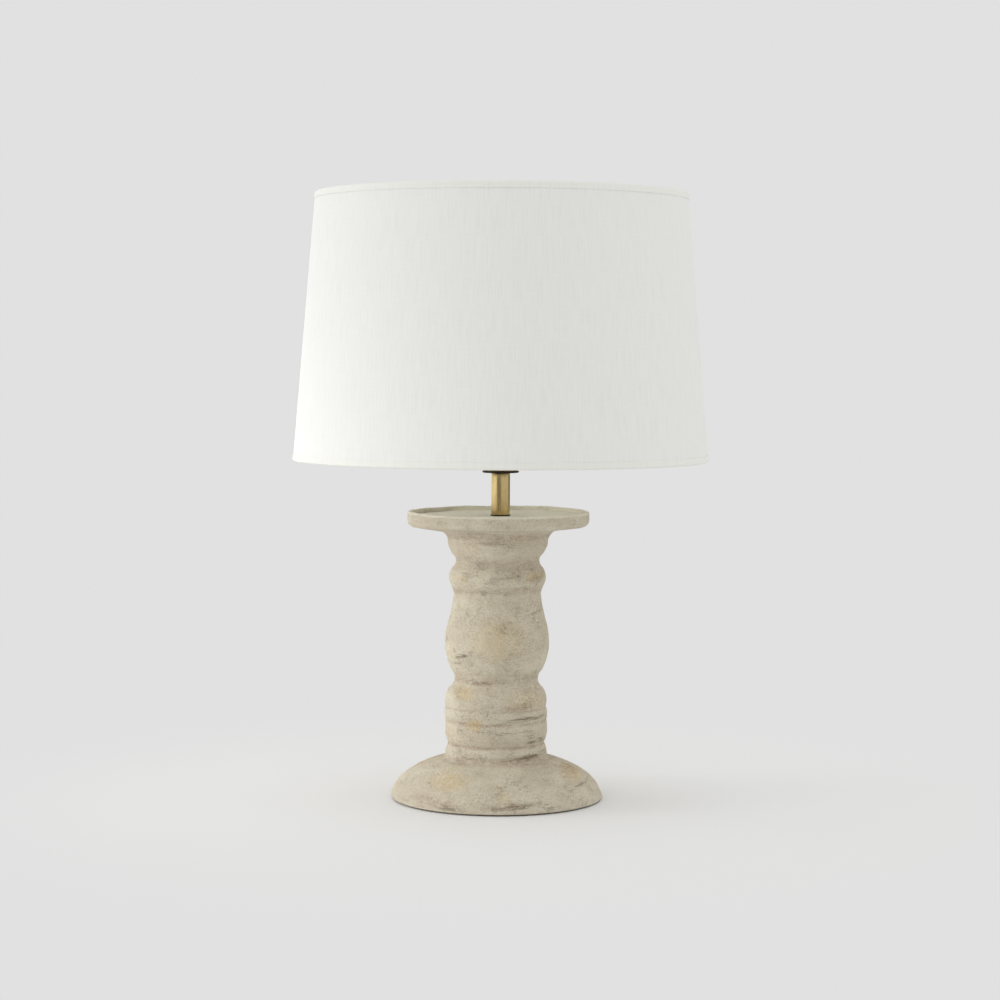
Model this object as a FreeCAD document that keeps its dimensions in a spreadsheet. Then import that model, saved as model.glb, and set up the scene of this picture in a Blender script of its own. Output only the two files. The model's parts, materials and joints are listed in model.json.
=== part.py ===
import FreeCAD, Part
import math
import os
from types import SimpleNamespace

import Sketcher

# A table lamp: a cast, hollow, turned-looking column with a wide round foot and a shallow
# dish on top, a short brass neck, a dark check ring, a lamp socket with a turn switch and
# a bulb, and a linen shade on a removable wire harp, held down by a finial.
# Lengths are millimetres. +Z is up, the origin is on the floor under the column's axis,
# and -Y is the front. The harp stands in the XZ plane and the switch knob points forward.

DRIVING_SIZES = {
    # fits between neighbouring pieces
    "thread_play": 0.05,        # pipe in its holes, set screw in its hole
    "lap_play": 0.05,           # glued or rolled layers lying on each other
    "seat_play": 0.1,           # flat faces that turn on each other
    "slide_play": 0.35,         # sleeves on the harp, harp ends above the saddle pins
    # sole and foot
    "felt_thickness": 1.5,
    "felt_inset": 3.0,
    "sole_radius": 106.5,
    "sole_round_height": 1.3,
    "sole_round_swell": 0.2,
    "foot_radius": 107.0,
    "foot_edge_height": 20.5,
    "foot_edge_swell": 2.6,
    "foot_shoulder_radius": 94.2,
    "foot_slope_height": 17.7,
    "foot_slope_swell": 5.9,
    "foot_top_radius": 54.0,
    # rings of the column, from the foot to the dish: height, radius at its upper end,
    # and how far the middle of its round stands out of the straight line
    "cove_height": 3.6, "cove_radius": 51.6, "cove_swell": -0.7,
    "flare_height": 12.3, "flare_radius": 48.6, "flare_swell": 0.8,
    "first_bead_height": 23.6, "first_bead_radius": 50.9, "first_bead_swell": 2.1,
    "second_bead_height": 13.1, "second_bead_radius": 50.7, "second_bead_swell": 1.5,
    "third_bead_height": 19.3, "third_bead_radius": 47.0, "third_bead_swell": 2.35,
    "waist_height": 18.6, "waist_radius": 46.2, "waist_swell": -4.6,
    "belly_height": 50.0, "belly_radius": 48.7, "belly_swell": 5.1,
    "throat_height": 26.2, "throat_radius": 43.8, "throat_swell": -0.55,
    "rise_height": 10.8, "rise_radius": 47.2, "rise_swell": -0.4,
    "upper_bead_height": 17.1, "upper_bead_radius": 45.0, "upper_bead_swell": 2.65,
    "upper_groove_height": 12.9, "upper_groove_radius": 45.6, "upper_groove_swell": -3.0,
    "upper_flare_height": 14.9, "upper_flare_radius": 50.6, "upper_flare_swell": 1.5,
    "dish_cove_height": 9.8, "dish_cove_radius": 60.0, "dish_cove_swell": -2.3,
    # dish
    "dish_radius": 92.2,
    "dish_thickness": 18.6,
    "dish_under_rise": 3.8,     # how far the underside rises from the column to the edge
    "dish_edge_round": 6.5,
    "dish_lip_round": 0.9,
    "dish_rim_width": 3.6,
    "dish_rim_draft": 0.9,
    "dish_depth": 4.5,
    # hollow of the column
    "bore_radius": 33.0,
    "bore_corner": 4.0,
    "roof_thickness": 15.0,
    "bell_radius": 84.0,
    "bell_mouth_radius": 42.0,
    "bell_height": 15.5,
    "bell_swell": 6.5,
    "bell_throat_height": 9.5,
    "recess_radius": 92.0,
    # base plate and the nut stack under it
    "nut_room": 13.5,
    "plate_thickness": 2.0,
    "plate_play": 0.5,
    "washer_radius": 15.0,
    "washer_thickness": 1.6,
    "lock_washer_radius": 8.4,
    "lock_washer_thickness": 1.6,
    "lock_washer_gap": 1.5,
    "nut_across_flats": 15.9,
    "nut_height": 5.5,
    "nut_bevel": 0.8,
    "pipe_tail": 1.3,
    "pipe_radius": 4.85,
    "pipe_bore": 3.5,
    # cord inlet in the back of the foot
    "inlet_height": 9.0,
    "inlet_bore": 3.5,
    "inlet_wall": 1.2,
    "inlet_flange_radius": 6.0,
    "inlet_flange_thickness": 2.0,
    "inlet_seat_depth": 4.5,
    "inlet_tail": 1.0,
    # neck
    "neck_washer_radius": 10.1,
    "neck_washer_thickness": 1.2,
    "neck_radius": 9.5,
    "neck_wall": 1.2,
    "neck_length": 42.5,
    "check_ring_radius": 18.5,
    "check_ring_thickness": 2.0,
    "check_ring_round": 0.6,
    # harp saddle
    "saddle_thickness": 1.6,
    "saddle_width": 13.0,
    "saddle_flat": 13.0,
    "saddle_rise": 6.0,
    "saddle_pad": 4.2,
    "harp_foot_spread": 27.0,
    "saddle_pin_height": 8.0,
    "saddle_pin_radius": 1.5,
    # socket
    "collar_radius": 8.0,
    "collar_height": 8.0,
    "cap_wall": 0.8,
    "cap_dome_height": 10.0,
    "cap_dome_swell": 1.9,
    "cap_skirt_radius": 17.2,
    "cap_skirt_height": 8.0,
    "pipe_in_cap": 10.0,
    "shell_wall": 0.5,
    "shell_height": 49.0,
    "shell_lip": 0.7,
    "sleeve_wall": 0.6,
    "sleeve_proud": 1.2,
    "block_height": 24.0,
    "block_boss_radius": 9.0,
    "block_boss_height": 2.0,
    "block_lift": 2.0,
    "block_flat": 11.4,
    "block_play": 0.2,
    "terminal_height": 17.0,
    "terminal_head_radius": 2.6,
    "terminal_head_height": 1.8,
    "terminal_shank_radius": 1.5,
    "terminal_shank_length": 4.0,
    "terminal_slot_width": 0.7,
    "terminal_slot_depth": 0.8,
    "set_screw_radius": 1.6,
    "set_screw_head_radius": 2.8,
    "set_screw_head_height": 3.0,
    "set_screw_height": 4.0,
    # thread of the bulb and its screw shell, as rings of the thread's pitch
    "thread_radius": 12.8,
    "thread_depth": 0.4,
    "thread_pitch": 3.63,
    "screw_shell_play": 0.45,
    "screw_shell_wall": 0.35,
    "contact_thickness": 0.5,
    "contact_width": 5.0,
    "contact_foot": 5.0,
    "contact_bend": 2.5,
    "contact_spring_height": 1.6,
    # switch
    "switch_height": 9.0,
    "switch_shaft_radius": 2.1,
    "switch_shaft_length": 29.0,
    "switch_hole_play": 0.9,
    "knob_radius": 5.5,
    "knob_tip_radius": 4.6,
    "knob_length": 17.0,
    "knob_bore_depth": 9.0,
    "knob_round": 1.0,
    # bulb
    "tip_radius": 4.8,
    "tip_nose_radius": 2.4,
    "tip_height": 1.6,
    "glass_seal_height": 3.4,
    "glass_seal_radius": 10.0,
    "bulb_cap_wall": 0.4,
    "bulb_cap_rim_height": 3.4,
    "bulb_radius": 30.0,
    "bulb_neck_radius": 14.2,
    "bulb_neck_height": 12.0,
    "bulb_shoulder_height": 24.0,
    "bulb_shoulder_swell": -1.3,
    "bulb_glass_wall": 0.8,
    "bulb_stem_depth": 3.0,
    # harp
    "harp_wire_radius": 1.6,
    "harp_half_width": 56.0,
    "harp_leg": 26.0,
    "harp_side": 77.0,
    "harp_sleeve_wall": 0.9,
    "harp_sleeve_length": 17.0,
    "harp_seat_radius": 8.0,
    "harp_seat_height": 3.5,
    "harp_groove_play": 0.75,
    "stud_radius": 3.15,
    "stud_bevel": 0.8,
    "stud_length": 14.0,
    # spider and rings of the shade
    "hub_radius": 14.0,
    "hub_thickness": 1.6,
    "hub_hole_play": 0.4,
    "arm_radius": 1.5,
    "arm_start": 8.6,
    "arm_bend": 9.0,
    "ring_wire_radius": 1.5,
    "ring_inset": 2.6,
    # shade
    "shade_height": 269.0,
    "shade_over_hub": 20.77,    # upper edge of the shade over the underside of the hub
    "shade_bottom_radius": 210.0,
    "shade_top_radius": 187.6,
    "hem_thickness": 0.6,
    "hem_height": 7.0,
    "hem_inner_height": 5.0,
    "hem_round": 1.6,
    "cover_thickness": 0.8,
    "liner_thickness": 0.6,
    "cover_inset": 2.3,
    # finial
    "finial_base_radius": 6.4,
    "finial_base_height": 4.5,
    "finial_collar_height": 1.5,
    "finial_base_swell": -0.5,
    "finial_waist_radius": 4.6,
    "finial_ball_radius": 7.6,
    "finial_bore_spare": 1.0,
    "finial_spigot_height": 2.0,
}

HARP_LEAN = 40.0            # degrees by which the harp's side leans out before it turns upright
THREAD_RINGS = 4            # thread turns that the bulb and its shell hold
ARM_COUNT = 3
SINE_45 = math.sin(math.radians(45))
SINE_22 = math.sin(math.radians(22.5))
COSINE_22 = math.cos(math.radians(22.5))
HEXAGON_CORNER = 2.0 / math.sqrt(3.0)


class Size:
    """A length that keeps its number together with the sheet expression that gives it."""

    def __init__(self, number, text):
        self.number = number
        self.text = text

    def __add__(self, other):
        other = as_size(other)
        return Size(self.number + other.number, f"({self.text} + {other.text})")

    def __sub__(self, other):
        other = as_size(other)
        return Size(self.number - other.number, f"({self.text} - {other.text})")

    def __mul__(self, other):
        other = as_size(other)
        return Size(self.number * other.number, f"({self.text} * {other.text})")

    def __truediv__(self, other):
        other = as_size(other)
        return Size(self.number / other.number, f"({self.text} / {other.text})")

    def __neg__(self):
        return Size(-self.number, f"(0 - {self.text})")


def as_size(value):
    """Any plain number as a size of its own."""
    if isinstance(value, Size):
        return value
    return Size(float(value), f"{float(value):.10f}")


doc = FreeCAD.newDocument("TableLamp")
sheet = doc.addObject("Spreadsheet::Sheet", "Sizes")
for row, (name, number) in enumerate(DRIVING_SIZES.items(), start=1):
    sheet.set(f"A{row}", name)
    sheet.set(f"B{row}", str(number))
    sheet.setAlias(f"B{row}", name)
doc.recompute()
size = SimpleNamespace(**{name: Size(number, f"Sizes.{name}")
                          for name, number in DRIVING_SIZES.items()})
ZERO = as_size(0.0)
bodies = []


# Helpers: sketches whose corners are held by the sheet, and the features made of them.

def origin_plane(body, role):
    """The named plane of a body's own origin."""
    return [item for item in body.Origin.OriginFeatures if item.Role == role][0]


def new_body(name):
    """An empty body, listed for export under its own name."""
    body = doc.addObject("PartDesign::Body", name)
    body.Label = name
    bodies.append(body)
    return body


def new_sketch(body, role, offset=None):
    """An empty sketch on one of the body's origin planes, or beside it by an offset."""
    sketch = body.newObject("Sketcher::SketchObject", body.Name + "_sketch")
    sketch.AttachmentSupport = [(origin_plane(body, role), "")]
    sketch.MapMode = "FlatFace"
    if offset is not None:
        sketch.setExpression("AttachmentOffset.Base.z", offset.text)
        doc.recompute([sketch])
    return sketch


def hold_point(sketch, geometry, point, across, up):
    """Constraints that keep one point of a sketch at two sizes from the origin."""
    for kind, value, axis in (("DistanceX", across, -2), ("DistanceY", up, -1)):
        value = as_size(value)
        if value.number == 0.0:
            sketch.addConstraint(Sketcher.Constraint("PointOnObject", geometry, point, axis))
            continue
        constraint = Sketcher.Constraint(kind, -1, 1, geometry, point, value.number)
        index = sketch.addConstraint(constraint)
        sketch.setExpression(f"Constraints[{index}]", value.text)


def point_number(sketch, geometry, place):
    """1 if a geometry starts at a place, 2 if it ends there."""
    start = sketch.getPoint(geometry, 1)
    end = sketch.getPoint(geometry, 2)
    return 1 if (start - place).Length <= (end - place).Length else 2


def draw_line_of_steps(sketch, start, steps, closed=True):
    """Straight steps (across, up) and round steps (mid across, mid up, across, up)."""
    corners = [start] + [step[-2:] for step in steps]
    spots = [FreeCAD.Vector(as_size(a).number, as_size(b).number, 0) for a, b in corners]
    drawn = []
    for step, here, there in zip(steps, spots, spots[1:]):
        if len(step) == 2:
            drawn.append(sketch.addGeometry(Part.LineSegment(here, there), False))
            continue
        middle = FreeCAD.Vector(as_size(step[0]).number, as_size(step[1]).number, 0)
        drawn.append(sketch.addGeometry(Part.Arc(here, middle, there), False))
    for index, (first, second) in enumerate(zip(drawn, drawn[1:]), start=1):
        sketch.addConstraint(Sketcher.Constraint(
            "Coincident", first, point_number(sketch, first, spots[index]),
            second, point_number(sketch, second, spots[index])))
    if closed:
        sketch.addConstraint(Sketcher.Constraint(
            "Coincident", drawn[-1], point_number(sketch, drawn[-1], spots[-1]),
            drawn[0], point_number(sketch, drawn[0], spots[0])))
    held = list(zip(drawn, corners, spots))
    if not closed:
        held.append((drawn[-1], corners[-1], spots[-1]))
    for geometry, (across, up), spot in held:
        hold_point(sketch, geometry, point_number(sketch, geometry, spot), across, up)
    for geometry, step in zip(drawn, steps):
        if len(step) == 4:
            middle = FreeCAD.Vector(as_size(step[0]).number, as_size(step[1]).number, 0)
            mark = sketch.addGeometry(Part.Point(middle), True)
            hold_point(sketch, mark, 1, step[0], step[1])
            sketch.addConstraint(Sketcher.Constraint("PointOnObject", mark, 1, geometry))
    return sketch


def draw_outline(sketch, start, steps):
    """A closed outline: the steps, and a last straight one back to the start."""
    return draw_line_of_steps(sketch, start, list(steps) + [start])


def draw_circle(sketch, across, up, radius):
    """A circle whose centre and radius are sizes."""
    centre = FreeCAD.Vector(as_size(across).number, as_size(up).number, 0)
    circle = sketch.addGeometry(
        Part.Circle(centre, FreeCAD.Vector(0, 0, 1), radius.number), False)
    hold_point(sketch, circle, 3, across, up)
    index = sketch.addConstraint(Sketcher.Constraint("Radius", circle, radius.number))
    sketch.setExpression(f"Constraints[{index}]", radius.text)
    return sketch


def draw_box(sketch, left, bottom, right, top):
    """A rectangle between four sizes."""
    return draw_outline(sketch, (left, bottom), [(right, bottom), (right, top), (left, top)])


def swelling(radius_below, radius_above, level_below, level_above, swell):
    """A round step from one level to the next, its middle out by the swell."""
    middle_radius = (radius_below + radius_above) / 2 + swell
    middle_level = (level_below + level_above) / 2
    return (middle_radius, middle_level, radius_above, level_above)


def turn(body, start, steps):
    """The outline turned once round the body's own Z axis."""
    sketch = draw_outline(new_sketch(body, "XZ_Plane"), start, steps)
    turning = body.newObject("PartDesign::Revolution", body.Name + "_turned")
    turning.Profile = sketch
    turning.ReferenceAxis = (sketch, ["V_Axis"])
    turning.Angle = 360
    doc.recompute()
    return turning


def pad(body, sketch, length, midplane=False):
    """A sketch drawn out to a length."""
    feature = body.newObject("PartDesign::Pad", body.Name + "_pad")
    feature.Profile = sketch
    feature.Midplane = midplane
    feature.setExpression("Length", length.text)
    doc.recompute()
    return feature


def cut_through(body, sketch, reverse=False, midplane=False):
    """A sketch cut through all that lies on one side of it, or on both."""
    before = body.Shape.Volume
    feature = body.newObject("PartDesign::Pocket", body.Name + "_cut")
    feature.Profile = sketch
    feature.Type = "ThroughAll"
    feature.Reversed = reverse
    feature.Midplane = midplane
    doc.recompute()
    if not body.Shape.Volume < before:
        raise RuntimeError(f"{feature.Name} cuts nothing")
    return feature


def pattern_round(body, feature, count):
    """Copies of a feature, evenly spaced round the body's Z axis."""
    ring = body.newObject("PartDesign::PolarPattern", body.Name + "_ring")
    ring.Originals = [feature]
    ring.Axis = (origin_plane(body, "Z_Axis"), [""])
    ring.Angle = 360
    ring.Occurrences = count
    body.Tip = ring
    doc.recompute()
    return ring


def place(body, across=ZERO, back=ZERO, level=ZERO, points="up"):
    """Where a body stands, and whether its own Z points up, to the front, back or a side."""
    sideways = {
        "up": FreeCAD.Rotation(),
        "front": FreeCAD.Rotation(FreeCAD.Vector(1, 0, 0), 90),
        "back": FreeCAD.Rotation(FreeCAD.Vector(1, 0, 0), -90),
        "right": FreeCAD.Rotation(FreeCAD.Vector(0, 1, 0), 90),
        "left": FreeCAD.Rotation(FreeCAD.Vector(0, 1, 0), -90),
    }
    spot = FreeCAD.Vector(across.number, back.number, level.number)
    body.Placement = FreeCAD.Placement(spot, sideways[points])
    body.setExpression("Placement.Base.x", across.text)
    body.setExpression("Placement.Base.y", back.text)
    body.setExpression("Placement.Base.z", level.text)


def disc(name, radius, hole, thickness, level):
    """A flat washer or disc, with or without a hole."""
    body = new_body(name)
    turn(body, (hole, ZERO), [(radius, ZERO), (radius, thickness), (hole, thickness)])
    place(body, level=level)
    return body


def tube(name, radius, bore, length, level):
    """A plain round tube."""
    return disc(name, radius, bore, length, level)


# Levels of the column, each from the one below it.

sole_level = size.felt_thickness
foot_edge_level = sole_level + size.sole_round_height
foot_shoulder_level = foot_edge_level + size.foot_edge_height
foot_top_level = foot_shoulder_level + size.foot_slope_height
COLUMN_RINGS = ("cove", "flare", "first_bead", "second_bead", "third_bead", "waist", "belly",
                "throat", "rise", "upper_bead", "upper_groove", "upper_flare", "dish_cove")


def column_steps():
    """The round steps from the foot's top to the dish, and the level that they reach."""
    steps = []
    radius_below = size.foot_top_radius
    level_below = foot_top_level
    for ring in COLUMN_RINGS:
        radius = getattr(size, ring + "_radius")
        level = level_below + getattr(size, ring + "_height")
        steps.append(swelling(radius_below, radius, level_below, level,
                              getattr(size, ring + "_swell")))
        radius_below = radius
        level_below = level
    return steps, level_below


rings, dish_bottom_level = column_steps()
rim_level = dish_bottom_level + size.dish_thickness
dish_floor_level = rim_level - size.dish_depth
plate_level = sole_level + size.nut_room
ledge_level = plate_level + size.plate_thickness
roof_level = dish_floor_level - size.roof_thickness
pipe_hole_radius = size.pipe_radius + size.thread_play
inlet_sleeve_radius = size.inlet_bore + size.inlet_wall
inlet_level = sole_level + size.inlet_height
inlet_seat = size.foot_radius - size.inlet_seat_depth


def quarter_round(corner_across, corner_up, across_sign, up_sign, radius, end):
    """A quarter circle inside a corner, towards the end point."""
    inner = radius * (1.0 - SINE_45)
    middle_across = corner_across - inner * across_sign
    middle_up = corner_up - inner * up_sign
    return (middle_across, middle_up) + end


def column():
    """The cast shell: foot, column and dish in one, hollow and open below."""
    body = new_body("column_body")
    dish_round = size.dish_edge_round
    edge_level = dish_bottom_level + size.dish_under_rise
    lip = size.dish_lip_round
    rim_inner = size.dish_radius - lip - size.dish_rim_width
    floor_radius = rim_inner - size.dish_rim_draft
    corner = size.bore_corner
    bell_top = ledge_level + size.bell_height
    steps = [
        (size.sole_radius, sole_level),
        swelling(size.sole_radius, size.foot_radius, sole_level, foot_edge_level,
                 size.sole_round_swell),
        swelling(size.foot_radius, size.foot_shoulder_radius, foot_edge_level,
                 foot_shoulder_level, size.foot_edge_swell),
        swelling(size.foot_shoulder_radius, size.foot_top_radius, foot_shoulder_level,
                 foot_top_level, size.foot_slope_swell),
    ]
    steps += rings
    steps += [
        (size.dish_radius - dish_round, edge_level),
        quarter_round(size.dish_radius, edge_level, 1, -1, dish_round,
                      (size.dish_radius, edge_level + dish_round)),
        (size.dish_radius, rim_level - lip),
        quarter_round(size.dish_radius, rim_level, 1, 1, lip,
                      (size.dish_radius - lip, rim_level)),
        (rim_inner, rim_level),
        (floor_radius, dish_floor_level),
        (pipe_hole_radius, dish_floor_level),
        (pipe_hole_radius, roof_level),
        (size.bore_radius - corner, roof_level),
        quarter_round(size.bore_radius, roof_level, 1, 1, corner,
                      (size.bore_radius, roof_level - corner)),
        (size.bore_radius, bell_top + size.bell_throat_height),
        (size.bell_mouth_radius, bell_top),
        swelling(size.bell_mouth_radius, size.bell_radius, bell_top, ledge_level,
                 size.bell_swell),
        (size.recess_radius, ledge_level),
    ]
    turn(body, (size.recess_radius, sole_level), steps)
    hole = draw_circle(new_sketch(body, "XZ_Plane"), ZERO, inlet_level,
                       inlet_sleeve_radius + size.thread_play)
    cut_through(body, hole)
    seat = draw_circle(new_sketch(body, "XZ_Plane", -inlet_seat), ZERO, inlet_level,
                       size.inlet_flange_radius + size.lap_play)
    cut_through(body, seat)
    return body


def felt_pad():
    """The felt disc glued under the foot's rim."""
    disc("felt_pad", size.sole_radius - size.felt_inset, ZERO, size.felt_thickness, ZERO)


def base_plate():
    """The steel disc inside the foot that the pipe pulls up against its ledge."""
    disc("base_plate", size.recess_radius - size.plate_play, pipe_hole_radius,
         size.plate_thickness, plate_level)


def cord_bushing():
    """The flanged bushing in the back of the foot, which a cord would come in through."""
    body = new_body("cord_bushing")
    tail = inlet_seat - size.recess_radius + size.inlet_tail
    flange_top = tail + size.inlet_flange_thickness
    turn(body, (size.inlet_bore, ZERO),
         [(inlet_sleeve_radius, ZERO), (inlet_sleeve_radius, tail),
          (size.inlet_flange_radius, tail), (size.inlet_flange_radius, flange_top),
          (size.inlet_bore, flange_top)])
    place(body, back=size.recess_radius - size.inlet_tail, level=inlet_level, points="back")


# The pipe and the nut that pulls the lamp together.

washer_level = plate_level - size.washer_thickness
lock_washer_level = washer_level - size.lock_washer_thickness
nut_level = lock_washer_level - size.nut_height
pipe_level = nut_level - size.pipe_tail
neck_level = dish_floor_level + size.neck_washer_thickness
check_ring_level = neck_level + size.neck_length
saddle_level = check_ring_level + size.check_ring_thickness
socket_level = saddle_level + size.saddle_thickness
pipe_top_level = socket_level + size.pipe_in_cap


def threaded_pipe():
    """The hollow pipe from under the base plate up into the socket cap."""
    tube("threaded_pipe", size.pipe_radius, size.pipe_bore, pipe_top_level - pipe_level,
         pipe_level)


def bottom_washer():
    """The wide washer under the base plate."""
    disc("bottom_washer", size.washer_radius, pipe_hole_radius, size.washer_thickness,
         washer_level)


def lock_washer():
    """The split ring between washer and nut."""
    body = disc("lock_washer", size.lock_washer_radius, pipe_hole_radius,
                size.lock_washer_thickness, lock_washer_level)
    half_gap = size.lock_washer_gap / 2
    slit = draw_box(new_sketch(body, "XY_Plane"), ZERO, -half_gap,
                    size.lock_washer_radius * 2, half_gap)
    cut_through(body, slit, reverse=True)


def hex_nut():
    """The hexagon nut on the pipe's lower end, its lower corners bevelled."""
    body = new_body("bottom_nut")
    flat = size.nut_across_flats / 2
    corner = flat * HEXAGON_CORNER
    half_side = corner / 2
    sketch = new_sketch(body, "XY_Plane")
    draw_outline(sketch, (corner, ZERO),
                 [(half_side, flat), (-half_side, flat), (-corner, ZERO),
                  (-half_side, -flat), (half_side, -flat)])
    draw_circle(sketch, ZERO, ZERO, pipe_hole_radius)
    pad(body, sketch, size.nut_height)
    before = body.Shape.Volume
    bevel = body.newObject("PartDesign::Groove", "bottom_nut_bevel")
    far = flat + (corner - flat) * 2
    bevel.Profile = draw_outline(new_sketch(body, "XZ_Plane"), (flat, ZERO),
                                 [(far, ZERO), (far, size.nut_bevel * 2)])
    bevel.ReferenceAxis = (bevel.Profile[0], ["V_Axis"])
    bevel.Angle = 360
    doc.recompute()
    if not body.Shape.Volume < before:
        raise RuntimeError("the nut's bevel cuts nothing")
    place(body, level=nut_level)


def neck():
    """The washer that seats the neck, the neck tube and the dark check ring on it."""
    disc("neck_washer", size.neck_washer_radius, pipe_hole_radius, size.neck_washer_thickness,
         dish_floor_level)
    tube("neck_tube", size.neck_radius, size.neck_radius - size.neck_wall, size.neck_length,
         neck_level)
    ring = new_body("check_ring")
    soft = size.check_ring_round
    edge = size.check_ring_radius
    top = size.check_ring_thickness
    turn(ring, (pipe_hole_radius, ZERO),
         [(edge - soft, ZERO), (edge, soft), (edge, top - soft), (edge - soft, top),
          (pipe_hole_radius, top)])
    place(ring, level=check_ring_level)


def harp_saddle():
    """The bent strip under the socket, with a pin at each end for the harp's feet."""
    body = new_body("harp_saddle")
    thick = size.saddle_thickness
    rise = size.saddle_rise
    inner = size.saddle_flat
    bend = size.harp_foot_spread - size.saddle_pad
    end = size.harp_foot_spread + size.saddle_pad
    sketch = new_sketch(body, "XZ_Plane")
    draw_outline(sketch, (-inner, ZERO),
                 [(inner, ZERO), (bend, rise), (end, rise), (end, rise + thick),
                  (bend, rise + thick), (inner, thick), (-inner, thick),
                  (-bend, rise + thick), (-end, rise + thick), (-end, rise), (-bend, rise)])
    pad(body, sketch, size.saddle_width, midplane=True)
    hole = draw_circle(new_sketch(body, "XY_Plane"), ZERO, ZERO, pipe_hole_radius)
    cut_through(body, hole, reverse=True)
    pins = new_sketch(body, "XY_Plane", rise + thick)
    draw_circle(pins, size.harp_foot_spread, ZERO, size.saddle_pin_radius)
    draw_circle(pins, -size.harp_foot_spread, ZERO, size.saddle_pin_radius)
    pad(body, pins, size.saddle_pin_height)
    place(body, level=saddle_level)


# The socket, from its cap up. Its levels are counted from the socket's own foot.

cap_shoulder = size.collar_height + size.cap_dome_height
cap_skirt_top = cap_shoulder + size.cap_skirt_height
cap_bore = size.cap_skirt_radius - size.cap_wall
shell_radius = cap_bore - size.lap_play
shell_foot = cap_shoulder + size.cap_wall + size.lap_play
shell_top = shell_foot + size.shell_height
sleeve_radius = shell_radius - size.shell_wall - size.lap_play
sleeve_top = shell_top + size.sleeve_proud
block_radius = sleeve_radius - size.sleeve_wall - size.block_play
block_foot = shell_foot + size.block_lift
block_top = block_foot + size.block_height
contact_level = block_top + size.block_boss_height
switch_level = block_foot + size.switch_height


def socket_cap():
    """The socket's domed brass cap, screwed onto the pipe by its collar."""
    body = new_body("socket_cap")
    wall = size.cap_wall
    collar = size.collar_radius
    outer = size.cap_skirt_radius
    floor = size.collar_height + wall
    turn(body, (pipe_hole_radius, ZERO),
         [(collar, ZERO), (collar, size.collar_height),
          swelling(collar, outer, size.collar_height, cap_shoulder, size.cap_dome_swell),
          (outer, cap_skirt_top), (cap_bore, cap_skirt_top), (cap_bore, cap_shoulder),
          swelling(cap_bore, collar, cap_shoulder, floor, size.cap_dome_swell - wall / 2),
          (pipe_hole_radius, floor)])
    hole = draw_circle(new_sketch(body, "XZ_Plane"), ZERO, size.set_screw_height,
                       size.set_screw_radius + size.thread_play)
    cut_through(body, hole)
    place(body, level=socket_level)


def cap_set_screw():
    """The small screw through the collar that locks the cap on the pipe."""
    body = new_body("cap_set_screw")
    length = size.collar_radius - pipe_hole_radius
    top = length + size.set_screw_head_height
    turn(body, (ZERO, ZERO),
         [(size.set_screw_radius, ZERO), (size.set_screw_radius, length),
          (size.set_screw_head_radius, length), (size.set_screw_head_radius, top),
          (ZERO, top)])
    screw_slot(body, top, size.set_screw_head_radius)
    place(body, back=pipe_hole_radius, level=socket_level + size.set_screw_height,
          points="back")


def screw_slot(body, top, radius):
    """A driver's slot across the head of a screw that stands on its own XY plane."""
    half = size.terminal_slot_width / 2
    slot = draw_box(new_sketch(body, "YZ_Plane"), -half, top - size.terminal_slot_depth,
                    half, top + radius)
    cut_through(body, slot, midplane=True)


def socket_shell():
    """The socket's brass shell, its mouth rolled out, holed for the switch."""
    body = new_body("socket_shell")
    bore = shell_radius - size.shell_wall
    roll = size.shell_lip
    turn(body, (bore, shell_foot),
         [(shell_radius, shell_foot), (shell_radius, shell_top - roll * 2),
          (shell_radius + roll, shell_top - roll, shell_radius, shell_top),
          (bore, shell_top)])
    switch_hole(body, size.switch_hole_play)
    place(body, level=socket_level)


def switch_hole(body, play):
    """The hole for the switch's shaft, cut towards the front from the axis."""
    hole = draw_circle(new_sketch(body, "XZ_Plane"), ZERO, switch_level,
                       size.switch_shaft_radius + play)
    cut_through(body, hole, reverse=True)


def insulating_sleeve():
    """The card sleeve inside the shell."""
    body = new_body("insulating_sleeve")
    bore = sleeve_radius - size.sleeve_wall
    turn(body, (bore, shell_foot),
         [(sleeve_radius, shell_foot), (sleeve_radius, sleeve_top), (bore, sleeve_top)])
    switch_hole(body, size.switch_hole_play)
    place(body, level=socket_level)


def socket_block():
    """The moulded block that holds the switch, the terminals and the screw shell."""
    body = new_body("socket_block")
    turn(body, (ZERO, block_foot),
         [(block_radius, block_foot), (block_radius, block_top),
          (size.block_boss_radius, block_top), (size.block_boss_radius, contact_level),
          (ZERO, contact_level)])
    far = block_radius * 2
    level = block_foot + size.terminal_height
    room = size.terminal_head_radius + size.block_play
    for side in (1, -1):
        flat = draw_box(new_sketch(body, "XZ_Plane"), size.block_flat * side, level - room,
                        far * side, level + room)
        cut_through(body, flat, midplane=True)
    holes = draw_circle(new_sketch(body, "YZ_Plane"), ZERO, level,
                        size.terminal_shank_radius + size.thread_play)
    cut_through(body, holes, midplane=True)
    switch_hole(body, size.thread_play)
    place(body, level=socket_level)


def terminal_screws():
    """The two wire screws, one on each side of the block."""
    level = socket_level + block_foot + size.terminal_height
    foot = size.block_flat - size.terminal_shank_length
    top = size.terminal_shank_length + size.terminal_head_height
    pair = []
    for side, points in ((1, "right"), (-1, "left")):
        body = new_body(f"terminal_screw_{points}")
        bodies.remove(body)
        turn(body, (ZERO, ZERO),
             [(size.terminal_shank_radius, ZERO),
              (size.terminal_shank_radius, size.terminal_shank_length),
              (size.terminal_head_radius, size.terminal_shank_length),
              (size.terminal_head_radius, top), (ZERO, top)])
        screw_slot(body, top, size.terminal_head_radius)
        place(body, across=foot * side, level=level, points=points)
        pair.append(body)
    both = doc.addObject("Part::Compound", "terminal_screws")
    both.Label = "terminal_screws"
    both.Links = pair
    bodies.append(both)
    doc.recompute()


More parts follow.
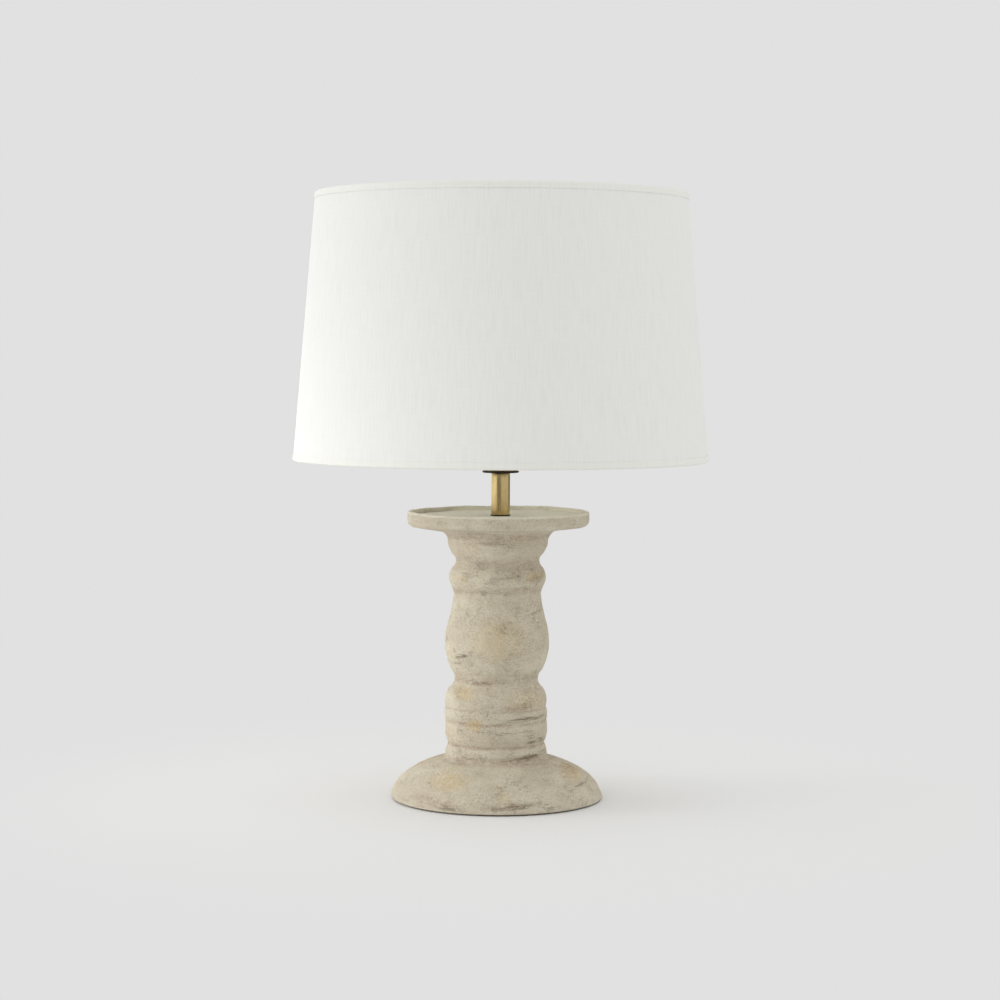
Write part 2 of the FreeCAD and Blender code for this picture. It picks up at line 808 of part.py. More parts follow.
def thread_wave(radius, level, upwards):
    """Thread rings as pairs of rounds, a crest lowest and a hollow highest."""
    step = size.thread_pitch / 2 if upwards else -size.thread_pitch / 2
    crest = upwards
    steps = []
    for index in range(THREAD_RINGS * 2):
        here = level + step * index
        swell = size.thread_depth if crest else -size.thread_depth
        steps.append(swelling(radius, radius, here, here + step, swell))
        crest = not crest
    return steps


thread_length = size.thread_pitch * THREAD_RINGS
screw_shell_radius = size.thread_radius + size.screw_shell_play
tip_level = contact_level + size.contact_spring_height + size.slide_play
glass_seal_level = tip_level + size.tip_height
bulb_thread_level = glass_seal_level + size.glass_seal_height + size.bulb_cap_wall


def screw_shell():
    """The metal sleeve with the rounded thread that the bulb screws into."""
    body = new_body("screw_shell")
    inner = screw_shell_radius
    outer = inner + size.screw_shell_wall
    top = bulb_thread_level + thread_length
    steps = [(outer, block_top), (outer, bulb_thread_level)]
    steps += thread_wave(outer, bulb_thread_level, upwards=True)
    steps += [(outer, sleeve_top), (inner, sleeve_top), (inner, top)]
    steps += thread_wave(inner, top, upwards=False)
    turn(body, (inner, block_top), steps)
    place(body, level=socket_level)


def centre_contact():
    """The brass tongue on the block that touches the bulb's tip."""
    body = new_body("centre_contact")
    foot = size.contact_foot
    bend = size.contact_bend
    thick = size.contact_thickness
    rise = size.contact_spring_height
    sketch = new_sketch(body, "XZ_Plane")
    draw_outline(sketch, (-foot, ZERO),
                 [(-bend, ZERO), (bend, rise - thick), (foot, rise - thick),
                  (foot, rise), (bend, rise), (-bend, thick), (-foot, thick)])
    pad(body, sketch, size.contact_width, midplane=True)
    place(body, level=socket_level + contact_level)


def switch():
    """The turning shaft of the switch and its knob, which point to the front."""
    level = socket_level + switch_level
    shaft = new_body("switch_shaft")
    turn(shaft, (ZERO, ZERO),
         [(size.switch_shaft_radius, ZERO), (size.switch_shaft_radius, size.switch_shaft_length),
          (ZERO, size.switch_shaft_length)])
    place(shaft, level=level, points="front")
    knob = new_body("switch_knob")
    bore = size.switch_shaft_radius + size.lap_play
    depth = size.knob_bore_depth
    foot = size.switch_shaft_length - depth
    top = size.knob_length
    soft = size.knob_round
    tip = size.knob_tip_radius
    turn(knob, (bore, ZERO),
         [(size.knob_radius, ZERO), (tip, top - soft),
          quarter_round(tip, top, 1, 1, soft, (tip - soft, top)),
          (ZERO, top), (ZERO, depth + size.lap_play), (bore, depth + size.lap_play)])
    place(knob, back=-foot, level=level, points="front")


# The bulb, its levels counted from the socket's foot as well.

bulb_rim_level = bulb_thread_level + thread_length + size.bulb_cap_rim_height
bulb_neck_level = bulb_rim_level + size.bulb_neck_height
bulb_shoulder_level = bulb_neck_level + size.bulb_shoulder_height


def bulb_cap():
    """The bulb's metal cap with its rounded thread."""
    body = new_body("bulb_cap")
    outer = size.thread_radius
    inner = outer - size.bulb_cap_wall
    seal_top = glass_seal_level + size.glass_seal_height
    seal = size.glass_seal_radius
    thread_top = bulb_thread_level + thread_length
    steps = [(outer, bulb_thread_level)]
    steps += thread_wave(outer, bulb_thread_level, upwards=True)
    steps += [(outer, bulb_rim_level), (inner, bulb_rim_level), (inner, thread_top)]
    steps += thread_wave(inner, thread_top, upwards=False)
    steps.append((seal - size.bulb_cap_wall, seal_top + size.bulb_cap_wall))
    turn(body, (seal, seal_top), steps)
    place(body, level=socket_level)


def bulb_base():
    """The dark glass seal under the cap and the contact tip in its middle."""
    seal = new_body("bulb_seal")
    turn(seal, (ZERO, glass_seal_level),
         [(size.tip_radius, glass_seal_level),
          (size.glass_seal_radius, glass_seal_level + size.glass_seal_height),
          (ZERO, glass_seal_level + size.glass_seal_height)])
    place(seal, level=socket_level)
    tip = new_body("bulb_tip")
    turn(tip, (ZERO, tip_level),
         [(size.tip_nose_radius, tip_level),
          (size.tip_radius, glass_seal_level), (ZERO, glass_seal_level)])
    place(tip, level=socket_level)


def globe_steps(radius, neck):
    """The rounds of the globe from its neck to its crown, for its outside or its inside."""
    shoulder = size.bulb_radius * SINE_45
    centre = bulb_shoulder_level + shoulder
    across = radius * SINE_45
    level = centre - across
    crown = centre + radius
    return [swelling(neck, across, bulb_neck_level, level, size.bulb_shoulder_swell),
            (radius, centre, across, centre + across),
            (radius * SINE_22, centre + radius * COSINE_22, ZERO, crown)]


def bulb_glass():
    """The bulb's opal globe, a thin closed shell with its neck set in the cap."""
    body = new_body("bulb_glass")
    wall = size.bulb_glass_wall
    foot = bulb_rim_level - size.bulb_stem_depth
    root = size.thread_radius - size.bulb_cap_wall - size.lap_play
    neck = size.bulb_neck_radius
    outside = globe_steps(size.bulb_radius, neck)
    inside = globe_steps(size.bulb_radius - wall, neck - wall)
    crown_inside = inside[-1][-2:]
    steps = [(root, foot), (root, bulb_rim_level + size.lap_play),
             (neck, bulb_neck_level)]
    steps += outside
    steps += [crown_inside]
    steps += backwards(inside, (neck - wall, bulb_neck_level))
    steps += [(root - wall, bulb_rim_level), (root - wall, foot + wall), (ZERO, foot + wall)]
    turn(body, (ZERO, foot), steps)
    place(body, level=socket_level)


def backwards(steps, start):
    """Round steps walked the other way, down to where they started."""
    ends = [start] + [step[-2:] for step in steps]
    return [steps[index][:2] + ends[index] for index in reversed(range(len(steps)))]


# The harp. Its foot is a little above the saddle's pins.

harp_foot_level = (saddle_level + size.saddle_rise + size.saddle_thickness
                   + size.saddle_pin_height + size.slide_play)
LEAN_SINE = math.sin(math.radians(HARP_LEAN))
LEAN_COSINE = math.cos(math.radians(HARP_LEAN))
HALF_LEAN_SINE = math.sin(math.radians(HARP_LEAN / 2))
HALF_LEAN_COSINE = math.cos(math.radians(HARP_LEAN / 2))
bulge = (size.harp_half_width - size.harp_foot_spread) / (2 * (1 - LEAN_COSINE))
harp_side_level = size.harp_leg + bulge * (2 * LEAN_SINE)
harp_arch_level = harp_side_level + size.harp_side
harp_crown = harp_arch_level + size.harp_half_width
harp_seat_level = harp_foot_level + harp_crown


def harp_wire():
    """The sprung wire loop: two legs, sides that lean out and stand up, and an arch."""
    body = new_body("harp_wire")
    foot = size.harp_foot_spread
    wide = size.harp_half_width
    leg = size.harp_leg
    turn_across = foot + bulge * (1 - LEAN_COSINE)
    turn_level = leg + bulge * LEAN_SINE
    low_across = foot + bulge * (1 - HALF_LEAN_COSINE)
    low_level = leg + bulge * HALF_LEAN_SINE
    high_across = wide - bulge * (1 - HALF_LEAN_COSINE)
    high_level = harp_side_level - bulge * HALF_LEAN_SINE
    left_side = [
        (-foot, leg),
        (-low_across, low_level, -turn_across, turn_level),
        (-high_across, high_level, -wide, harp_side_level),
        (-wide, harp_arch_level),
    ]
    arch = [(ZERO, harp_crown, wide, harp_arch_level)]
    right_side = [
        (wide, harp_side_level),
        (high_across, high_level, turn_across, turn_level),
        (low_across, low_level, foot, leg),
        (foot, ZERO),
    ]
    route = draw_line_of_steps(new_sketch(body, "XZ_Plane"), (-foot, ZERO),
                               left_side + arch + right_side, closed=False)
    ring = draw_circle(new_sketch(body, "XY_Plane"), -foot, ZERO, size.harp_wire_radius)
    sweep(body, ring, route)
    place(body, level=harp_foot_level)


def sweep(body, section, route):
    """A section drawn along a route."""
    feature = body.newObject("PartDesign::AdditivePipe", body.Name + "_sweep")
    feature.Profile = section
    feature.Spine = (route, [])
    doc.recompute()
    return feature


def harp_top():
    """The seat riveted on the harp's crown, with the stud for the finial."""
    body = new_body("harp_top")
    seat = size.harp_seat_height
    top = seat + size.stud_length
    stud = size.stud_radius
    bevel = size.stud_bevel
    turn(body, (ZERO, ZERO),
         [(size.harp_seat_radius, ZERO), (size.harp_seat_radius, seat), (stud, seat),
          (stud, top - bevel), (stud - bevel, top), (ZERO, top)])
    groove = draw_circle(new_sketch(body, "YZ_Plane"), ZERO, ZERO,
                         size.harp_wire_radius + size.harp_groove_play)
    cut_through(body, groove, midplane=True)
    place(body, level=harp_seat_level)


def harp_sleeves():
    """The two sleeves that lock the harp's feet on the saddle's pins."""
    bore = size.harp_wire_radius + size.slide_play
    level = saddle_level + size.saddle_rise + size.saddle_thickness + size.slide_play
    for side, name in ((-1, "harp_sleeve_left"), (1, "harp_sleeve_right")):
        body = tube(name, bore + size.harp_sleeve_wall, bore, size.harp_sleeve_length, level)
        place(body, across=size.harp_foot_spread * side, level=level)


# The shade. Its levels are counted from its lower edge, and its wall leans in evenly.

taper = (size.shade_bottom_radius - size.shade_top_radius) / size.shade_height
hub_level = harp_seat_level + size.harp_seat_height + size.seat_play
arm_level = hub_level + size.hub_thickness + size.arm_radius
shade_level = hub_level + size.shade_over_hub - size.shade_height
cover_depth = size.hem_thickness + size.lap_play
liner_depth = cover_depth + size.cover_thickness + size.lap_play
ring_depth = liner_depth + size.liner_thickness + size.lap_play
ring_middle_depth = ring_depth + size.ring_wire_radius
channel_depth = ring_depth + size.ring_wire_radius * 2 + size.lap_play
hem_full_depth = channel_depth + size.hem_thickness


def wall_radius(level, depth):
    """The shade's radius at a level, a depth inside its outermost face."""
    return size.shade_bottom_radius - taper * level - depth


def shade_layer(name, depth, thickness):
    """One layer of the shade's wall, between the two hems' turned edges."""
    body = new_body(name)
    low = size.cover_inset
    high = size.shade_height - size.cover_inset
    turn(body, (wall_radius(low, depth), low),
         [(wall_radius(high, depth), high),
          (wall_radius(high, depth + thickness), high),
          (wall_radius(low, depth + thickness), low)])
    place(body, level=shade_level)


def hoop(name, level, depth):
    """A ring of round wire inside the wall at a level."""
    body = new_body(name)
    sketch = draw_circle(new_sketch(body, "XZ_Plane"), wall_radius(level, depth), level,
                         size.ring_wire_radius)
    turning = body.newObject("PartDesign::Revolution", name + "_turned")
    turning.Profile = sketch
    turning.ReferenceAxis = (sketch, ["V_Axis"])
    turning.Angle = 360
    doc.recompute()
    place(body, level=shade_level)


def hem(name, edge, inward):
    """A hem rolled over an edge of the shade: outer leg, round edge, inner leg."""
    body = new_body(name)
    thick = size.hem_thickness
    outer_end = edge + size.hem_height * inward
    inner_end = edge + size.hem_inner_height * inward
    shoulder = edge + size.hem_round * inward
    channel_edge = edge + thick * inward
    middle = hem_full_depth / 2
    turn(body, (wall_radius(outer_end, ZERO), outer_end),
         [(wall_radius(shoulder, ZERO), shoulder),
          (wall_radius(edge, middle), edge, wall_radius(shoulder, hem_full_depth), shoulder),
          (wall_radius(inner_end, hem_full_depth), inner_end),
          (wall_radius(inner_end, channel_depth), inner_end),
          (wall_radius(shoulder, channel_depth), shoulder),
          (wall_radius(channel_edge, middle), channel_edge,
           wall_radius(shoulder, thick), shoulder),
          (wall_radius(outer_end, thick), outer_end)])
    place(body, level=shade_level)


def shade():
    """The linen cover, its stiff liner, the two hems and the two wire rings."""
    shade_layer("shade_cover", cover_depth, size.cover_thickness)
    shade_layer("shade_liner", liner_depth, size.liner_thickness)
    hem("shade_bottom_hem", ZERO, 1)
    hem("shade_top_hem", size.shade_height, -1)
    hoop("shade_bottom_ring", size.ring_inset, ring_middle_depth)
    hoop("shade_top_ring", size.shade_height - size.ring_inset, ring_middle_depth)


def spider():
    """The hub that sits on the harp, and the arms from it to the shade's top ring."""
    disc("spider_hub", size.hub_radius, size.stud_radius + size.hub_hole_play,
         size.hub_thickness, hub_level)
    body = new_body("spider_arms")
    ring_level = size.shade_height - size.ring_inset
    reach = wall_radius(ring_level, ring_middle_depth)
    top = shade_level + ring_level - size.ring_wire_radius - arm_level
    bend = size.arm_bend
    middle = bend * SINE_45
    route = draw_line_of_steps(
        new_sketch(body, "XZ_Plane"), (size.arm_start, ZERO),
        [(reach - bend, ZERO), (reach - bend + middle, bend - middle, reach, bend),
         (reach, top)], closed=False)
    section = draw_circle(new_sketch(body, "YZ_Plane", size.arm_start), ZERO, ZERO,
                          size.arm_radius)
    arm = sweep(body, section, route)
    place(body, level=arm_level)
    pattern_round(body, arm, ARM_COUNT)


def finial():
    """The finial: a threaded base that holds the hub down, and a ball on its spigot."""
    level = hub_level + size.hub_thickness + size.seat_play
    base = new_body("finial_base")
    bore = size.stud_radius + size.seat_play
    collar = size.finial_collar_height
    height = size.finial_base_height
    spigot = height + size.finial_spigot_height
    radius = size.finial_base_radius
    neck_radius = size.finial_waist_radius
    turn(base, (bore, ZERO),
         [(radius, ZERO), (radius, collar),
          swelling(radius, neck_radius, collar, height, size.finial_base_swell),
          (neck_radius, spigot), (bore, spigot)])
    place(base, level=level)
    ball = new_body("finial_ball")
    size_up = size.finial_ball_radius
    socket = neck_radius + size.lap_play
    centre = height + half_chord(size_up, socket)
    hollow = size.stud_length + size.finial_bore_spare
    wide = size_up * SINE_45
    turn(ball, (socket, height),
         [(size_up, centre, wide, centre + wide),
          (size_up * SINE_22, centre + size_up * COSINE_22, ZERO, centre + size_up),
          (ZERO, hollow), (bore, hollow), (bore, spigot + size.lap_play),
          (socket, spigot + size.lap_play)])
    place(ball, level=level)


def half_chord(radius, across):
    """How far from a circle's centre a chord lies that is twice as wide as given."""
    number = math.sqrt(radius.number ** 2 - across.number ** 2)
    return Size(number, f"sqrt(({radius.text}) ^ 2 - ({across.text}) ^ 2)")


PIECES = (felt_pad, base_plate, column, cord_bushing, threaded_pipe, bottom_washer, lock_washer,
          hex_nut, neck, harp_saddle, socket_cap, cap_set_screw, socket_shell,
          insulating_sleeve, socket_block, terminal_screws, screw_shell, centre_contact,
          switch, bulb_cap, bulb_base, bulb_glass, harp_wire, harp_top, harp_sleeves,
          shade, spider, finial)
for make in PIECES:
    make()
doc.recompute()


def check_document():
    """Stop if any object failed, or any piece has no sound shape."""
    failed = [item.Name for item in doc.Objects
              if "Invalid" in item.State or "Error" in item.State]
    if failed:
        raise RuntimeError(f"these objects failed: {failed}")
    for body in bodies:
        shape = body.Shape
        if shape.isNull() or not shape.isValid() or not shape.Solids:
            raise RuntimeError(f"{body.Label} has no sound solid")


check_document()
os.makedirs("parts", exist_ok=True)
for body in bodies:
    body.Shape.exportStep(f"parts/{body.Label}.step")
    print(f"{body.Label}: {len(body.Shape.Solids)} solids, {body.Shape.Volume:.1f} mm3")
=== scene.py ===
# %% [markdown]
# # A column table lamp
# The real lamp is a cast, stone-like column with a wide foot and a shallow dish on top. A short
# brass neck rises out of the dish to a dark ring, and above it hides the socket, a bulb and a
# wire harp that carries a linen shade. The construction comes ready as a frame of separate
# solids. This lesson gives every piece its finish, and models again what a machine-true solid
# can't show: cast stone, brushed brass and cloth.

# %% Load the frame
import json
import math

import bmesh
import bpy
from mathutils import Euler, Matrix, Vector


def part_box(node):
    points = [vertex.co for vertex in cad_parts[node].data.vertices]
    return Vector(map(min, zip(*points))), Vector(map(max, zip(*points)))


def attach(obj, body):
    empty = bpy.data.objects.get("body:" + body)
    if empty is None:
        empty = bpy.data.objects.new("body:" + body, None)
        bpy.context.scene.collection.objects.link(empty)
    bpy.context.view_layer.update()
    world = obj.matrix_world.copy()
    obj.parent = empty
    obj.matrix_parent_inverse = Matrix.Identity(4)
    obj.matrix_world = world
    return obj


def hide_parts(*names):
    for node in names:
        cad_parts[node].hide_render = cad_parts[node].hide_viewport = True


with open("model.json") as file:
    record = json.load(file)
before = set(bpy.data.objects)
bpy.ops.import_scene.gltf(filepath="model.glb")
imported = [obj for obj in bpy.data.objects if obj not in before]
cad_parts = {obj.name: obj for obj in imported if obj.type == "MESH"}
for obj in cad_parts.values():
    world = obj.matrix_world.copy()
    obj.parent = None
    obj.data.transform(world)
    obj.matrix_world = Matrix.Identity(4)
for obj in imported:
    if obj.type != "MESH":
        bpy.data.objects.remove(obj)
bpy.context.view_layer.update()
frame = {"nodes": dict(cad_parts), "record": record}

nodes = frame["nodes"]
MM = 0.001

# %% [markdown]
# ## Camera
# The photograph looks at the lamp from a little under the middle of the shade, and slightly
# down, with a long lens: the rims of shade, dish and foot are thin ellipses that open
# differently. A distance of 2.45 m and a lens of 87 mm give those ellipses.

# %% The camera
CAMERA_PLACE = (-0.0005, -2.45, 0.450)
CAMERA_DOWN = 3.43          # degrees under level
CAMERA_ROLL = 0.25          # degrees, so that the lamp seems to lean a little to the right
CAMERA_LENS = 87.3          # millimetres, on the usual 36 mm sensor

camera_data = bpy.data.cameras.new("photo_camera")
camera_data.lens = CAMERA_LENS
camera = bpy.data.objects.new("photo_camera", camera_data)
camera.location = CAMERA_PLACE
turned_down = Euler((math.radians(90 - CAMERA_DOWN), 0, 0)).to_matrix()
rolled = Euler((0, 0, math.radians(CAMERA_ROLL))).to_matrix()
camera.rotation_euler = (turned_down @ rolled).to_euler()
bpy.context.scene.collection.objects.link(camera)
bpy.context.scene.camera = camera
bpy.context.scene.view_settings.view_transform = "Standard"
print("camera:", CAMERA_LENS, "mm lens at", CAMERA_PLACE)

# %% [markdown]
# ## Studio
# The lamp stands in an even, bright studio: an even world gives most of the light, so a white
# thing looks white and nothing clips. Three soft boxes shape it. A large one on the left makes
# the left edge of the shade the brightest place, a weak one on the right keeps that side from
# going dull, and a small low one brings out the left edge of the stone. What the camera sees
# behind the lamp, and what metal and glass mirror, is a plain light grey of its own.

# %% World and soft boxes
BACKDROP = 0.752            # the light grey behind the lamp
AMBIENT = 0.84              # the light that comes from everywhere


def add_light_path(tree, *rays):
    """1 for any of the named kinds of ray, such as Is Camera Ray, and 0 for others."""
    path = tree.nodes.new("ShaderNodeLightPath")
    found = path.outputs[rays[0]]
    for ray in rays[1:]:
        either = tree.nodes.new("ShaderNodeMath")
        either.operation = "MAXIMUM"
        tree.links.new(found, either.inputs[0])
        tree.links.new(path.outputs[ray], either.inputs[1])
        found = either.outputs[0]
    return found


world = bpy.data.worlds.new("studio")
bpy.context.scene.world = world
world.use_nodes = True
sky = world.node_tree
ambient = sky.nodes["Background"]
ambient.inputs["Color"].default_value = (1, 1, 0.985, 1)
ambient.inputs["Strength"].default_value = AMBIENT
seen = sky.nodes.new("ShaderNodeBackground")
seen.inputs["Color"].default_value = (BACKDROP, BACKDROP, BACKDROP, 1)
seen.inputs["Strength"].default_value = 1.0
either = sky.nodes.new("ShaderNodeMixShader")
looked_at = add_light_path(sky, "Is Camera Ray", "Is Glossy Ray", "Is Transmission Ray")
sky.links.new(looked_at, either.inputs[0])
sky.links.new(ambient.outputs[0], either.inputs[1])
sky.links.new(seen.outputs[0], either.inputs[2])
sky.links.new(either.outputs[0], sky.nodes["World Output"].inputs["Surface"])


def soft_box(name, place, watts, wide, high, target=(0, 0, 0.35), spread=180):
    """A large soft light that looks at the lamp, through a grid if its spread is narrow."""
    data = bpy.data.lights.new(name, "AREA")
    data.shape = "RECTANGLE"
    data.size = wide
    data.size_y = high
    data.energy = watts
    data.spread = math.radians(spread)
    box = bpy.data.objects.new(name, data)
    box.location = place
    box.visible_glossy = False
    box.rotation_euler = (Vector(target) - Vector(place)).to_track_quat("-Z", "Y").to_euler()
    bpy.context.scene.collection.objects.link(box)
    return box


soft_box("left_box", (-2.9, 0.28, 0.75), watts=28.0, wide=3.0, high=3.0)
soft_box("right_box", (2.9, 0.4, 0.8), watts=4.5, wide=1.6, high=1.9)
soft_box("low_left_box", (-2.2, -0.35, 0.30), watts=0.26, wide=0.5, high=0.26,
         target=(0, 0, 0.13), spread=24)
print("studio: world", AMBIENT, "and three soft boxes")

# %% [markdown]
# ## Cards beside the brass
# Polished brass shows nothing but its surroundings. On the neck one sees a bright edge on the
# left, a brown band beside it, tan on the right and a thin dark edge. A photographer gets such
# a drawing with light and dark cards around the object. These show in reflections alone, and
# the soft boxes don't show in them.

# %% The cards
CARDS_AWAY = 0.9            # from the lamp's axis
CARDS_HIGH = 0.9
CARDS_MIDDLE = 0.31         # the height of the neck


def card_for_gloss(name, start, end, grey):
    """An upright card that only reflections see, between two bearings from the front."""
    across = 2 * CARDS_AWAY * math.tan(math.radians(end - start) / 2)
    bearing = math.radians((start + end) / 2)
    bpy.ops.object.select_all(action="DESELECT")
    bpy.ops.mesh.primitive_grid_add(
        x_subdivisions=1, y_subdivisions=1, size=1,
        location=(CARDS_AWAY * math.sin(bearing), -CARDS_AWAY * math.cos(bearing), CARDS_MIDDLE),
        rotation=(math.radians(90), 0, bearing))
    made = bpy.context.object
    made.name = name
    made.scale = (across, CARDS_HIGH, 1)
    face = bpy.data.materials.new(name)
    face.use_nodes = True
    face.node_tree.nodes.clear()
    glow = face.node_tree.nodes.new("ShaderNodeEmission")
    glow.inputs["Color"].default_value = (grey, grey, grey, 1)
    output = face.node_tree.nodes.new("ShaderNodeOutputMaterial")
    face.node_tree.links.new(glow.outputs[0], output.inputs["Surface"])
    made.data.materials.append(face)
    made.visible_camera = False
    made.visible_diffuse = False
    made.visible_shadow = False
    made.visible_transmission = False
    return made


card_for_gloss("front_card", -44, 4, grey=0.24)
card_for_gloss("rear_card", 112, 172, grey=0.20)
card_for_gloss("left_card", -108, -48, grey=1.30)
card_for_gloss("left_rear_card", -172, -112, grey=1.20)
print("four cards")

# %% [markdown]
# ## Floor
# The floor is plain and as light as the background. Near the lamp it is ordinary matt paint
# that takes the lamp's soft shadow. Further out it fades, for the camera only, into the flat
# grey of the background, so that no horizon shows.

# %% The floor
FLOOR_RADIUS = 6.0
FLOOR_CLEAR = 0.2 * MM      # keeps the felt and the floor from flickering into each other
FADE_START = 0.12           # where the painted floor begins to fade into the backdrop
FADE_END = 0.62
FLOOR_PAINT = 0.86

bpy.ops.object.select_all(action="DESELECT")
bpy.ops.mesh.primitive_circle_add(vertices=96, radius=FLOOR_RADIUS, fill_type="NGON",
                                  location=(0, 0, -FLOOR_CLEAR))
floor = bpy.context.object
floor.name = "studio_floor"
paint = bpy.data.materials.new("floor_paint")
paint.use_nodes = True
tree = paint.node_tree
matt = tree.nodes["Principled BSDF"]
matt.inputs["Base Color"].default_value = (FLOOR_PAINT, FLOOR_PAINT, FLOOR_PAINT, 1)
matt.inputs["Roughness"].default_value = 0.9
matt.inputs["Specular IOR Level"].default_value = 0.1
glow = tree.nodes.new("ShaderNodeEmission")
glow.inputs["Color"].default_value = (BACKDROP, BACKDROP, BACKDROP, 1)
where = tree.nodes.new("ShaderNodeTexCoord")
away = tree.nodes.new("ShaderNodeVectorMath")
away.operation = "LENGTH"
tree.links.new(where.outputs["Object"], away.inputs[0])
fade = tree.nodes.new("ShaderNodeMapRange")
fade.interpolation_type = "SMOOTHSTEP"
fade.inputs["From Min"].default_value = FADE_START
fade.inputs["From Max"].default_value = FADE_END
tree.links.new(away.outputs["Value"], fade.inputs["Value"])
shown_part = tree.nodes.new("ShaderNodeMath")
shown_part.operation = "MULTIPLY"
tree.links.new(fade.outputs[0], shown_part.inputs[0])
tree.links.new(add_light_path(tree, "Is Camera Ray", "Is Glossy Ray"), shown_part.inputs[1])
fading = tree.nodes.new("ShaderNodeMixShader")
tree.links.new(shown_part.outputs[0], fading.inputs[0])
tree.links.new(matt.outputs[0], fading.inputs[1])
tree.links.new(glow.outputs[0], fading.inputs[2])
tree.links.new(fading.outputs[0], tree.nodes["Material Output"].inputs["Surface"])
floor.data.materials.append(paint)
print("floor:", FLOOR_RADIUS * 2, "m across")

# %% [markdown]
# ## Working on one piece
# Nearly every visible piece of this lamp was turned, spun or cast round one axis. The quickest
# true way to a finer copy is the turner's own: cut the solid through its axis, keep the
# outline of one side, soften its corners, and spin that outline round again in many steps.

# %% Helpers for modelling
WELD = 0.002 * MM           # points of a solid that lie closer are one
SPUN_WELD = 0.004 * MM      # the same after a spin
ON_AXIS = 0.001 * MM        # how far from the axis a point still lies on it


def start_on(piece):
    """Select this piece alone and open it in edit mode."""
    bpy.ops.object.select_all(action="DESELECT")
    piece.select_set(True)
    bpy.context.view_layer.objects.active = piece
    bpy.ops.object.mode_set(mode="EDIT")


def pick(piece, kind, test):
    """Select the verts, edges or faces whose middle passes a test, in edit mode."""
    mesh = bmesh.from_edit_mesh(piece.data)
    for part in mesh.faces[:] + mesh.edges[:] + mesh.verts[:]:
        part.select_set(False)
    chosen = 0
    for part in getattr(mesh, kind):
        if kind == "verts":
            middle = part.co
        else:
            middle = sum((v.co for v in part.verts), Vector()) / len(part.verts)
        if test(part, middle):
            part.select_set(True)
            chosen += 1
    bmesh.update_edit_mesh(piece.data)
    return chosen


def outline_of(node, name):
    """The outline of one side of a turned CAD node, in the XZ plane, as a new piece."""
    piece = bpy.data.objects.new(name, nodes[node].data.copy())
    bpy.context.scene.collection.objects.link(piece)
    piece.data.materials.clear()
    start_on(piece)
    bpy.ops.mesh.reveal()
    bpy.ops.mesh.select_all(action="SELECT")
    bpy.ops.mesh.remove_doubles(threshold=WELD)
    bpy.ops.mesh.bisect(plane_co=(0, 0, 0), plane_no=(0, 1, 0),
                        clear_inner=True, clear_outer=True, threshold=ON_AXIS)
    pick(piece, "verts", lambda v, at: at.x < -ON_AXIS)
    bpy.ops.mesh.delete(type="VERT")
    return piece


def split_long_edges(piece, longest, test=lambda edge, at: True):
    """Halve the outline's edges until none that passes the test is longer than given."""
    while pick(piece, "edges", lambda e, at: e.calc_length() > longest and test(e, at)):
        bpy.ops.mesh.subdivide(number_cuts=1)


def soften_corners(piece, width, sharper_than=25.0, segments=2):
    """Round the outline's corners that turn by more than so many degrees."""
    def is_corner(vert, at):
        if len(vert.link_edges) != 2:
            return False
        first, second = (edge.other_vert(vert).co - vert.co for edge in vert.link_edges)
        return math.degrees(first.angle(-second)) > sharper_than
    if pick(piece, "verts", is_corner):
        bpy.ops.mesh.bevel(offset=width, segments=segments, affect="VERTICES")


def spin_round(piece, steps):
    """Spin the outline once round the lamp's axis into a closed skin, faces outwards."""
    bpy.ops.mesh.select_all(action="SELECT")
    bpy.ops.mesh.spin(steps=steps, angle=math.tau, center=(0, 0, 0), axis=(0, 0, 1))
    bpy.ops.mesh.select_all(action="SELECT")
    bpy.ops.mesh.remove_doubles(threshold=SPUN_WELD)
    bpy.ops.mesh.normals_make_consistent(inside=False)
    bpy.ops.object.mode_set(mode="OBJECT")
    smooth(piece)


def smooth(piece, angle=32.0):
    """Shade a piece smooth, apart from its edges that are sharper than an angle."""
    bpy.ops.object.select_all(action="DESELECT")
    piece.select_set(True)
    bpy.context.view_layer.objects.active = piece
    bpy.ops.object.shade_smooth_by_angle(angle=math.radians(angle))


def take_place(piece, body, slot, finish, *stands_for):
    """Give a piece its finish and its body, and hide what it stands for. The slot is not used."""
    piece.data.materials.clear()
    piece.data.materials.append(finish)
    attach(piece, body)
    if stands_for:
        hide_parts(*stands_for)
    print(piece.name, "has", len(piece.data.polygons), "faces")


def turn_again(node, name, soft, steps=128, longest=None):
    """A finer copy of a turned CAD node, with softened corners."""
    piece = outline_of(node, name)
    soften_corners(piece, soft)
    if longest:
        split_long_edges(piece, longest)
    spin_round(piece, steps)
    return piece


print("helpers ready")

# %% [markdown]
# ## Mixing a finish
# All finishes here are procedural: patterns in the object's own coordinates, in metres, so a
# size such as 0.004 means patches 4 mm across. A small class keeps the node calls short. What
# is the same all over a surface goes straight onto the shader's sockets.

# %% Helpers for finishes


